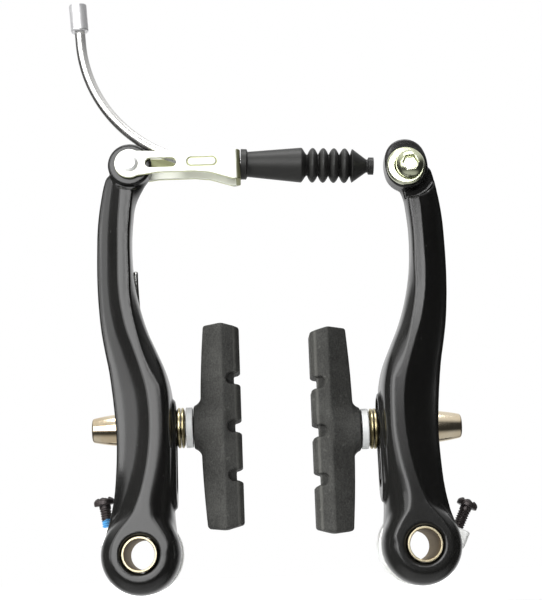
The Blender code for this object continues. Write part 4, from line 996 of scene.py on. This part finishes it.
def threaded_rod(name, radius, depth, pitch, length, span, finish, segments):
    """A rod from height 0 to length. The thread runs between the two heights of the span."""
    steps = int(length / pitch * (9))
    edge = 0.3
    profile = [(0.0, 0.0), (radius - depth - edge * 0.5, 0.0)]
    profile += evenly((radius, edge), (radius, length - edge), steps)
    profile += [(radius - edge * 0.5, length), (0.0, length)]
    values = {
        "Radius": radius * MM, "Depth": depth * MM, "Pitch": pitch * MM, "Start": span[0] * MM,
        "End": span[1] * MM, "Finish": finish,
    }
    return cook(CUT_THREAD, name, profile, segments, False, values, 60.0)


# %% Tension screws: pan head, cross recess, threaded shank
HOLDER_TURN = {"left": -8.5, "right": -26.0}
SCREW_DEPTH = -3.2
SCREW_OUT = 8.8


def holder_place(side, along, outward, depth):
    turn = radians(HOLDER_TURN[side])
    across = outward * cos(turn) - along * sin(turn)
    climb = outward * sin(turn) + along * cos(turn)
    return Vector((SIDES[side] * (PIVOT + across), depth, climb))


def pan_head_rule(points):
    x, y, h = np.abs(points[:, 0]), np.abs(points[:, 1]), points[:, 2]
    crown = np.hypot(np.hypot(x, y), np.maximum(h - 0.9, 0.0) * 1.9) - 2.95
    head = keep_both(crown * 0.8, np.maximum(-h, h - 2.4), 0.25)
    wide = 0.5 + 0.32 * np.maximum(h - 0.7, 0.0)
    bars = [np.maximum(a - wide, b - 1.1 - 0.75 * h) for a, b in ((x, y), (y, x))]
    return carve(head, keep_both(np.minimum(*bars), 0.4 - h, 0.1), 0.14)


def colour_band(rod, finish, low, high):
    """Gives the faces between two heights another finish, with a wavy upper edge."""
    rod.data.materials.append(finish)
    for face in rod.data.polygons:
        x, y, z = face.center / MM
        if low < z < high + 0.22 * sin(3.0 * np.arctan2(y, x) + 1.0):
            face.material_index = len(rod.data.materials) - 1


HEAD_CELL = 0.16
head_box = ((-3.6, -3.6, -0.5), (3.6, 3.6, 2.9))
for side in SIDES:
    tip = holder_place(side, 5.6, SCREW_OUT, SCREW_DEPTH)
    axis = holder_place(side, 15.7, SCREW_OUT, SCREW_DEPTH) - tip
    shank = threaded_rod(
        side + "_screw_thread", 1.62, 0.26, 0.7, axis.length + 0.3, (0.3, 9.2), BLACK_OXIDE, 28,
    )
    if side == "left":
        colour_band(shank, THREAD_LOCK, 3.6, 6.0)
    head = mesh_of_rule(side + "_screw_head", pan_head_rule, head_box, HEAD_CELL, BLACK_OXIDE)
    lift = Matrix.Translation((0.0, 0.0, axis.length * MM))
    head.data.transform(lift @ Matrix.Rotation(radians(38.0), 4, "Z"))
    screw = unite(side + "_cross_head_screw", [shank, head])
    place_along(screw, tip, axis)
    stand_in_for(screw, side + "_tension_screw", side + "_screw_body")

# %% Pad posts: threaded rod with the moulded-in plate
POST_START, POST_END = 15.4, 47.1
INSERT = (6.0, 40.0, 1.6)
for side, sign in SIDES.items():
    length = POST_END - POST_START
    post = threaded_rod(side + "_post_thread", 2.98, 0.42, 1.0, length, (5.5, length), STEEL, 40)
    insert = bmesh.new()
    bmesh.ops.create_cube(insert, size=1.0)
    bmesh.ops.scale(insert, vec=[size * MM for size in INSERT], verts=insert.verts)
    bmesh.ops.translate(insert, vec=(0.0, 0.0, INSERT[2] / 2 * MM), verts=insert.verts)
    bmesh.ops.bevel(insert, geom=insert.edges[:], offset=0.2 * MM, segments=2, affect="EDGES")
    plate = from_bmesh(side + "_plate", insert, [STEEL])
    made = unite(side + "_threaded_post", [post, plate])
    made.data.transform(Matrix(((0, 0, sign, 0), (sign, 0, 0, 0), (0, 1, 0, 0), (0, 0, 0, 1))))
    root = (sign * POST_START * MM, POST_Y * MM, PAD_UP[side] * MM)
    made.data.transform(Matrix.Translation(root))
    stand_in_for(made, side + "_pad_post", side + "_pad_body")

# %% [markdown]
# ## Pieces laid along a path
# The springs and the guide tube are straight stock bent to a path. The tree does the same: each
# point of a straight piece keeps its distance from the axis, and its height says how far along
# the path it goes. The path's tangent and normal turn the cross-section.

# %% The bending tree
def bending_tree():
    tree = Recipe("bend_along_path", "Length", Path="Object")
    x, y, z = tree.split(tree.place)
    path = tree.node(
        "GeometryNodeObjectInfo", {"transform_space": "ORIGINAL"}, {"Object": tree.size("Path")},
        "Geometry",
    )
    place, tangent, normal = tree.node(
        "GeometryNodeSampleCurve", {"mode": "FACTOR"},
        {"Curves": path, "Factor": z / tree.size("Length")}, ("Position", "Tangent", "Normal"),
    )
    across = tree.vector_maths("CROSS_PRODUCT", [tangent, normal])
    for way, amount in ((normal, x), (across, y)):
        shift = tree.vector_maths("SCALE", {"Vector": way, "Scale": amount})
        place = tree.vector_maths("ADD", [place, shift])
    return tree.close("Position", place)


BEND_ALONG_PATH = bending_tree()


# %% Straight stock, and stock bent along a route
def stock_profile(outer, inner, length, steps):
    """A pipe with eased lips or, with no bore, a wire with round ends."""
    if inner:
        lip = 0.12
        points = [(inner, 0.0), (outer - lip, 0.0)]
        points += evenly((outer, lip), (outer, length - lip), steps) + [(outer - lip, length)]
        return points + evenly((inner, length), (inner, 0.0), steps)[:-1]
    rounded = [(outer * sin(a), outer * (1 - cos(a))) for a in np.linspace(0.0, pi / 2, 5)]
    far = [(r, length - h) for r, h in reversed(rounded)]
    return rounded[:-1] + evenly((outer, outer), (outer, length - outer), steps) + far[1:]


def bent(name, outer, inner, route, steps, finish, segments):
    """Bends straight stock along a route of points in millimetres."""
    curve = bpy.data.curves.new(name + "_path", "CURVE")
    curve.dimensions = "3D"
    line = curve.splines.new("POLY")
    line.points.add(len(route) - 1)
    for point, spot in zip(line.points, route):
        point.co = (*(np.array(spot) * MM), 1.0)
    path = put(name + "_path", curve)
    length = sum(np.linalg.norm(np.subtract(b, a)) for a, b in zip(route, route[1:]))
    profile = stock_profile(outer, inner, length, steps)
    values = {"Path": path, "Length": length * MM, "Finish": finish}
    made = cook(BEND_ALONG_PATH, name, profile, segments, inner > 0, values, 50.0)
    bpy.data.objects.remove(path)
    print(name, "is", round(length, 1), "mm long")
    return made


# %% [markdown]
# ## Return springs
# A coil sits in the holder, and a long leg runs up the back of the arm to a stop. The real wire
# flexes as the arm opens.

# %% The spring's route
COIL_RADIUS = 6.9
COIL_PITCH = 1.55
WIRE = 0.65
HOLDER_BACK, HOLDER_WALL, COIL_GAP = 0.5, 1.2, 0.3
LEG_TOP = 0.735 * HEAD_UP
LEG_STEPS = 39
LEG_LEAN = {"left": 0.4, "right": 2.4}
LEG_RELIEF = 0.4


def spring_route(side):
    """Two turns inside the holder, then the long leg up the back of the arm."""
    sign = SIDES[side]
    steps = 40
    first = -HOLDER_BACK - HOLDER_WALL - COIL_GAP - WIRE
    route = []
    for i in range(2 * steps + 1):
        angle = pi + 2 * pi * i / steps
        depth = first - COIL_PITCH * i / steps
        route.append((sign * (PIVOT + COIL_RADIUS * cos(angle)), depth, -COIL_RADIUS * sin(angle)))
    leave = route[-1][1]
    begin, end = PIVOT - COIL_RADIUS, PIVOT + LEG_LEAN[side]
    for i in range(1, LEG_STEPS + 1):
        height = LEG_TOP * i / LEG_STEPS
        share = height / LEG_TOP
        across = begin + (end - begin) * (3 * share ** 2 - 2 * share ** 3)
        depth = leave
        if height > BACK[1, 0] * HEAD_UP - 10.0:
            depth = min(leave, ARM_BACK - back_at(height / HEAD_UP) + WIRE + LEG_RELIEF)
        route.append((sign * across, depth, height))
    return route


SPRING_STEPS = 420
for side, sign in SIDES.items():
    spring = bent(side + "_wire_spring", WIRE, 0.0, spring_route(side), SPRING_STEPS, STEEL, 16)
    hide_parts(side + "_spring")
    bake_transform(spring)

# %% [markdown]
# ## The cable's guide
# A polished tube turns the cable through nearly a right angle. A drawn ferrule takes the cable's
# housing at its upper end, a turned nose seats in the link at the other, and a plastic liner runs
# through both into the boot. Tube and liner follow one route, so that they share their middle line.

# %% Guide tube and its liner
PLATE_Y = -20.4
FLANGE_X = -8.9
NOSE_FLANGE = 2.2
TUBE_BEND = 40.0
TUBE_TURN = radians(86.0)


def noodle_route(lead, tail):
    """The middle line from inside the nose, round the bend, to the ferrule."""
    begin = FLANGE_X - NOSE_FLANGE - 1.4
    route = [(begin + lead, PLATE_Y, HEAD_UP)]
    for angle in np.linspace(0.0, TUBE_TURN, 40):
        climb = TUBE_BEND * (1.0 - cos(angle))
        route.append((begin - TUBE_BEND * sin(angle), PLATE_Y, HEAD_UP + climb))
    way = np.array((-cos(TUBE_TURN), 0.0, sin(TUBE_TURN)))
    route.append(tuple(np.array(route[-1]) + way * (3.4 + tail)))
    return route, way


tube_route, tube_way = noodle_route(1.4, 0.0)
liner_route, _ = noodle_route(1.4 + NOSE_FLANGE + 5.0, -0.2)
tube = bent("bent_guide_tube", 1.5, 1.15, tube_route, 90, TUBE_CHROME, 32)
stand_in_for(tube, "noodle_tube", "noodle_body")
liner = bent("liner_hose", 0.95, 0.6, liner_route, 70, LINER_WHITE, 20)
stand_in_for(liner, "noodle_liner", "noodle_body")

# %% Ferrule and nose, both turned
ferrule_profile = [(2.0, 8.0), (2.5, 8.0), (2.5, 0.0), (1.15, 0.0), (1.15, 2.5), (2.0, 2.5)]
ferrule_base = Vector(tube_route[-1]) + Vector(tube_way) * 0.2
ferrule = turned(
    "inlet_ferrule", soften(ferrule_profile, 0.32), ferrule_base, tube_way, FERRULE_GREY,
)
stand_in_for(ferrule, "noodle_ferrule", "noodle_body")
nose_profile = [
    (1.05, 7.2), (1.2, 7.2), (1.9, 4.2), (1.9, 2.0), (2.3, 2.0), (2.3, 0.0), (1.05, 0.0),
]
nose_base = (FLANGE_X - NOSE_FLANGE + 0.1, PLATE_Y, HEAD_UP)
nose = turned("turned_nose", soften(nose_profile, 0.18), nose_base, (1.0, 0.0, 0.0), STEEL, 48)
stand_in_for(nose, "noodle_tip", "noodle_body")

# %% [markdown]
# ## The ribbed boot
# The boot is one soft moulding: a collar, a barrel that widens, four bellows ridges, a cone and a
# lip. Its radius is a rule of the height alone, so the tree sets each ring of a plain tube to the
# radius that the rule gives. The ridges come from the height within one pitch.

# %% The boot tree
def capped(value):
    """A share kept between 0 and 1."""
    return value.maths("MAXIMUM", 0.0).maths("MINIMUM", 1.0)


def boot_tree():
    labels = ("Barrel Length", "Ridges", "Ridge Pitch", "Ridge Radius", "Groove Radius",
              "Cone Length")
    tree = Recipe("ribbed_boot", *labels)
    barrel, ridges, pitch, ridge, groove, cone_length = (tree.size(label) for label in labels)
    x, y, z = tree.split(tree.place)
    radius = (x * x + y * y) ** 0.5
    collar = 4.3 * MM - (0.75 * MM) * z.ease(1.25 * MM, 1.7 * MM)
    body = collar + (1.4 * MM) * capped((z - 1.6 * MM) / (barrel - 1.6 * MM))
    first_groove = barrel + pitch * 0.5
    fall = z.ease(barrel - 0.35 * MM, first_groove)
    edge = body * (1.0 - fall) + groove * fall

    phase = ((z - first_groove) / pitch).maths("FRACT")
    ribs = groove + (ridge - groove) * (1.0 - abs(phase * 2.0 - 1.0) ** 1.9)

    ribs_end = first_groove + ridges * pitch
    cone_base = ribs_end + pitch * 0.22
    cone_rise = z.ease(ribs_end - 0.05 * MM, cone_base)
    cone = (ridge - 0.15 * MM) - (ridge - 2.0 * MM) * capped((z - cone_base) / cone_length)
    lip_start = cone_base + cone_length + 0.35 * MM
    lip = 0.6 * MM * z.ease(lip_start, lip_start + 0.3 * MM)
    tail = groove + (cone - groove) * cone_rise + lip

    past_barrel = z.ease(first_groove - 0.01 * MM, first_groove + 0.01 * MM)
    past_ribs = z.ease(ribs_end - 0.01 * MM, ribs_end + 0.01 * MM)
    shaped = edge * (1.0 - past_barrel) + ribs * past_barrel * (1.0 - past_ribs)
    shaped = shaped + tail * past_ribs
    outer_wall = radius.ease(2.8 * MM, 2.9 * MM)
    share = (radius + (shaped - radius) * outer_wall) / radius
    return tree.close("Position", tree.vector(x * share, y * share, z))


# %% The boot
BOOT_END = 37.2
BOOT_TILT = radians(2.6)
rings = 300
boot_profile = [(2.6, -0.3), (5.0 - 0.02, -0.3)]
boot_profile += evenly((5.0, -0.24), (5.0, BOOT_END - 0.06), rings)
boot_profile += [(5.0 - 0.02, BOOT_END), (1.2, BOOT_END), (1.2, 8.0), (2.6, 6.5)]
boot_values = {
    "Barrel Length": 17.0 * MM, "Ridges": 4.0, "Ridge Pitch": 3.0 * MM, "Ridge Radius": 4.9 * MM,
    "Groove Radius": 2.95 * MM, "Cone Length": 4.0 * MM, "Finish": BOOT_RUBBER,
}
boot = cook(boot_tree(), "ribbed_boot", boot_profile, 56, True, boot_values, 30.0)
boot_base = (FLANGE_X + 1.0 + 0.4, PLATE_Y, HEAD_UP)
place_along(boot, boot_base, (cos(BOOT_TILT), 0.0, -sin(BOOT_TILT)))
stand_in_for(boot, "noodle_boot", "noodle_body")

# %% [markdown]
# ## The link
# One strip of sheet folded into a U: two side plates joined by a flange with a keyhole for the
# nose. The rule is the sheet's thickness round a folded line, kept inside the side outline, with
# the windows cut out. The front window is open, and the one near the flange is only pressed.

# %% The link's rule
PIN_X = -38.9
HALF_GAP = 4.0
HALF_SHEET = 0.5
NOWHERE = 9.0
SIDE_TOP = np.array([(-4.1, 3.6), (2.0, 3.55), (8.0, 3.3), (31.0, 3.3)])
SIDE_BOTTOM = np.array([
    (-4.1, 3.6), (2.0, 3.55), (8.0, 2.75), (18.0, 2.7), (22.5, 3.2), (26.0, 4.3), (28.8, 5.2),
    (31.0, 5.2),
])


def rounded_bar(a, b, start, end, half):
    straight = np.maximum(np.maximum(start + half - a, a - end + half), 0.0)
    return np.hypot(straight, b) - half


def link_rule(points):
    a = points[:, 0] - PIN_X
    y = points[:, 1] - PLATE_Y
    z = points[:, 2] - HEAD_UP
    corner = 1.1
    p = a - (30.5 - corner)
    q = np.abs(y) - (HALF_GAP - corner)
    fold = np.hypot(np.maximum(p, 0.0), np.maximum(q, 0.0)) + np.minimum(np.maximum(p, q), 0.0)
    sheet = np.abs(fold - corner) - HALF_SHEET
    top = np.interp(a, SIDE_TOP[:, 0], SIDE_TOP[:, 1])
    bottom = np.interp(a, SIDE_BOTTOM[:, 0], SIDE_BOTTOM[:, 1])
    outline = np.maximum(z - top, (-z - bottom) * 0.92)
    outline = np.where(a < 2.0, np.hypot(a, z) - 4.1, outline)
    body = keep_both(sheet, outline, 0.16)
    front = y < 0
    opening = rounded_bar(a, z, 4.5, 13.1, 1.35)
    body = carve(body, np.where(front, opening, NOWHERE), 0.14)
    pressed = np.abs(rounded_bar(a, z, 16.2, 24.4, 1.2)) - 0.2
    floor = -HALF_GAP - HALF_SHEET + 0.2
    body = carve(body, keep_both(pressed, np.where(front, y - floor, NOWHERE), 0.08), 0.12)
    keyhole = np.where(a > 28.0, np.hypot(y, z) - 2.1, NOWHERE)
    throat = np.where(a > 28.0, np.maximum(np.abs(y) - 1.2, -z), NOWHERE)
    body = carve(body, np.minimum(keyhole, throat), 0.15)
    return carve(body, np.hypot(a, z) - 1.95, 0.1)


LINK_CELL = 0.17
link_box = ((-43.6, -25.6, 101.6), (-7.4, -15.2, 111.8))
link = mesh_of_rule("folded_link", link_rule, link_box, LINK_CELL, LINK_ZINC)
stand_in_for(link, "noodle_link", "link_body")

# %% Link rivet
rivet_profile = [
    (0.0, 10.7), (1.6, 10.64), (2.4, 10.3), (2.4, 10.15), (1.75, 10.15), (1.75, 0.55), (2.4, 0.55),
    (2.4, 0.4), (1.6, 0.06), (0.0, 0.0),
]
rivet_base = (PIN_X, PLATE_Y + (HALF_GAP + HALF_SHEET + 0.3) + 0.55, HEAD_UP)
rivet = turned(
    "domed_rivet", soften(rivet_profile, 0.15, closed=False), rivet_base, FORWARD, ZINC,
    closed=False,
)
stand_in_for(rivet, "link_pin", "link_body")

# %% [markdown]
# ## Pins behind the arms
# One pin holds each spring holder in its hole in the frame's boss, and one stands on the back of
# each arm, where the spring's leg bears on it. Both are plain turned steel with eased ends.

# %% Boss pins and spring stops
def ground_pin(name, radius, length, base, segments):
    profile = [(0.0, length), (radius, length), (radius, 0.0), (0.0, 0.0)]
    profile = soften(profile, 0.25, closed=False)
    return turned(name, profile, base, FORWARD, STEEL, segments, closed=False)


for side, sign in SIDES.items():
    spot = holder_place(side, 0.0, -7.6, 3.5)
    boss_pin = ground_pin(side + "_ground_boss_pin", 1.3, 5.2, spot, 32)
    stand_in_for(boss_pin, side + "_boss_pin", "frame_side")
    leg_x, leg_y, leg_z = spring_route(side)[-1]
    stop_up = leg_z - 2.2
    tail = leg_y + WIRE + 0.8
    root = ARM_BACK - back_at(stop_up / HEAD_UP) - 3.0
    base = (sign * (abs(leg_x) + 1.65), tail, stop_up)
    stop = ground_pin(side + "_leg_stop", 0.8, tail - root, base, 28)
    stand_in_for(stop, side + "_spring_stop", side + "_arm_body")

# %% [markdown]
# ## Spring holders
# Behind each knuckle sits a pressed cup that holds the spring's coil. An ear on its outer side
# takes the tension screw, a notch lets the spring's leg out, and a small hole takes the boss pin.

# %% The holder's rule
def holder_rule(side):
    turn = radians(HOLDER_TURN[side])

    def rule(points):
        u = SIDES[side] * points[:, 0] - PIVOT
        y, z = points[:, 1], points[:, 2]
        r = np.hypot(u, z)
        outward = u * cos(turn) + z * sin(turn)
        along = z * cos(turn) - u * sin(turn)
        cup = keep_both(r - KNUCKLE, np.maximum(y + HOLDER_BACK, -6.2 - y), 0.4)
        ear = keep_both(np.abs(along - 6.8) - 2.6, np.abs(outward - 8.95) - 3.35, 0.8)
        ear = keep_both(ear, np.abs(y + 3.35) - 2.75, 0.5)
        body = fuse(cup, ear, 0.4)
        body = carve(body, keep_both(r - 9.45, y + HOLDER_BACK + HOLDER_WALL, 0.25), 0.25)
        body = carve(body, r - STUD_BORE, 0.12)
        screw = np.maximum(np.hypot(outward - SCREW_OUT, y - SCREW_DEPTH) - 1.7, 1.7 - along)
        body = carve(body, screw, 0.15)
        leg_notch = np.maximum(np.maximum(np.abs(u + COIL_RADIUS) - 0.95, y + 2.0), 2.0 - z)
        body = carve(body, leg_notch, 0.15)
        return carve(body, np.hypot(outward + 7.6, along) - 1.5, 0.1)

    return rule


HOLDER_CELL = 0.27
for side, sign in SIDES.items():
    box = side_box(sign, 26.6, 54.4, (-6.7, -11.5), (0.0, 13.6))
    holder = mesh_of_rule(side + "_pressed_holder", holder_rule(side), box, HOLDER_CELL, ZINC)
    stand_in_for(holder, side + "_spring_holder", "frame_side")

# %% [markdown]
# ## Studio
# A pale floor just under the knuckles, a white room and five soft lights. Three panels in front
# are seen only in reflections: they draw the long highlights on the arms. The key light from the
# left does the opposite, it lights without being mirrored. The dark flanks of the arms come from
# what they reflect, which is the dim corner between the front panels and the white behind.

# %% Floor and world
FLOOR_UP = -0.0113
floor_mesh = bpy.data.meshes.new("floor")
floor_corners = [(-0.6, -0.16), (0.6, -0.16), (0.6, 0.6), (-0.6, 0.6)]
floor_mesh.from_pydata([(x, y, FLOOR_UP) for x, y in floor_corners], [], [(0, 1, 2, 3)])
floor = put("floor", floor_mesh)
paper = Finish("pale_paper", 0.0, {"Emission Color": (1.0, 1.0, 1.0), "Emission Strength": 0.75})
floor_mesh.materials.append(paper.finish((0.8, 0.8, 0.8), 0.8 + 0.05 * paper.noise(30.0)))
floor.visible_glossy = False

world = bpy.data.worlds.new("white_room")
world.use_nodes = True
room = Graph(world.node_tree)
aim = room.node("ShaderNodeTexCoord", out="Generated")
to_right, to_back, to_top = room.split(aim)
behind = to_back.ease(0.62, 0.98)
overhead = to_top.ease(0.25, 0.8)
underneath = (to_top * -1.0).ease(0.5, 0.9)
from_left = (to_right * -1.0).ease(0.1, 0.9)
glow = 0.03 + 0.9 * behind + 0.75 * overhead + 0.5 * underneath + 0.03 * from_left
seen = room.node("ShaderNodeLightPath", out="Is Camera Ray")
backdrop = world.node_tree.nodes["Background"]
room.feed(backdrop.inputs["Color"], (1.0, 1.0, 1.0))
room.feed(backdrop.inputs["Strength"], glow + seen * (1.0 - glow))
bpy.context.scene.world = world
bpy.context.scene.view_settings.view_transform = "Standard"


# %% Soft lights
def soft_light(name, place, aim, width, height, power, diffuse=True, glossy=True):
    data = bpy.data.lights.new(name, "AREA")
    data.shape = "RECTANGLE"
    data.size, data.size_y, data.energy = width, height, power
    light = put(name, data)
    light.location = place
    light.rotation_euler = (Vector(aim) - Vector(place)).to_track_quat("-Z", "Y").to_euler()
    light.visible_diffuse = diffuse
    light.visible_glossy = glossy


PANEL_AWAY, PANEL_UP, PANEL_HIGH = 1.19, 0.31, 0.866
front_panels = (("front_panel", -12.7, 12.3, 8.0), ("left_front_panel", -43.5, 18.5, 5.5))
for name, bearing, half_angle, power in front_panels:
    bearing = radians(bearing)
    spot = (PANEL_AWAY * sin(bearing), -PANEL_AWAY * cos(bearing), PANEL_UP)
    wide = 2 * PANEL_AWAY * tan(radians(half_angle))
    soft_light(name, spot, (0.0, 0.0, 0.06), wide, PANEL_HIGH, power, diffuse=False)
soft_light(
    "right_upper_panel", (0.215, -1.18, 0.316), (0.04, 0.0, 0.09), 0.27, 0.156, 1.15, diffuse=False,
)
soft_light(
    "left_panel", (-1.10, -0.44, 0.30), (0.0, 0.0, 0.05), 0.5, 0.5, 34.0, glossy=False,
)
soft_light("top_panel", (0.0, -0.25, 1.2), (0.0, 0.0, 0.05), 0.8, 0.5, 8.0)
print("lights:", len(bpy.data.lights))
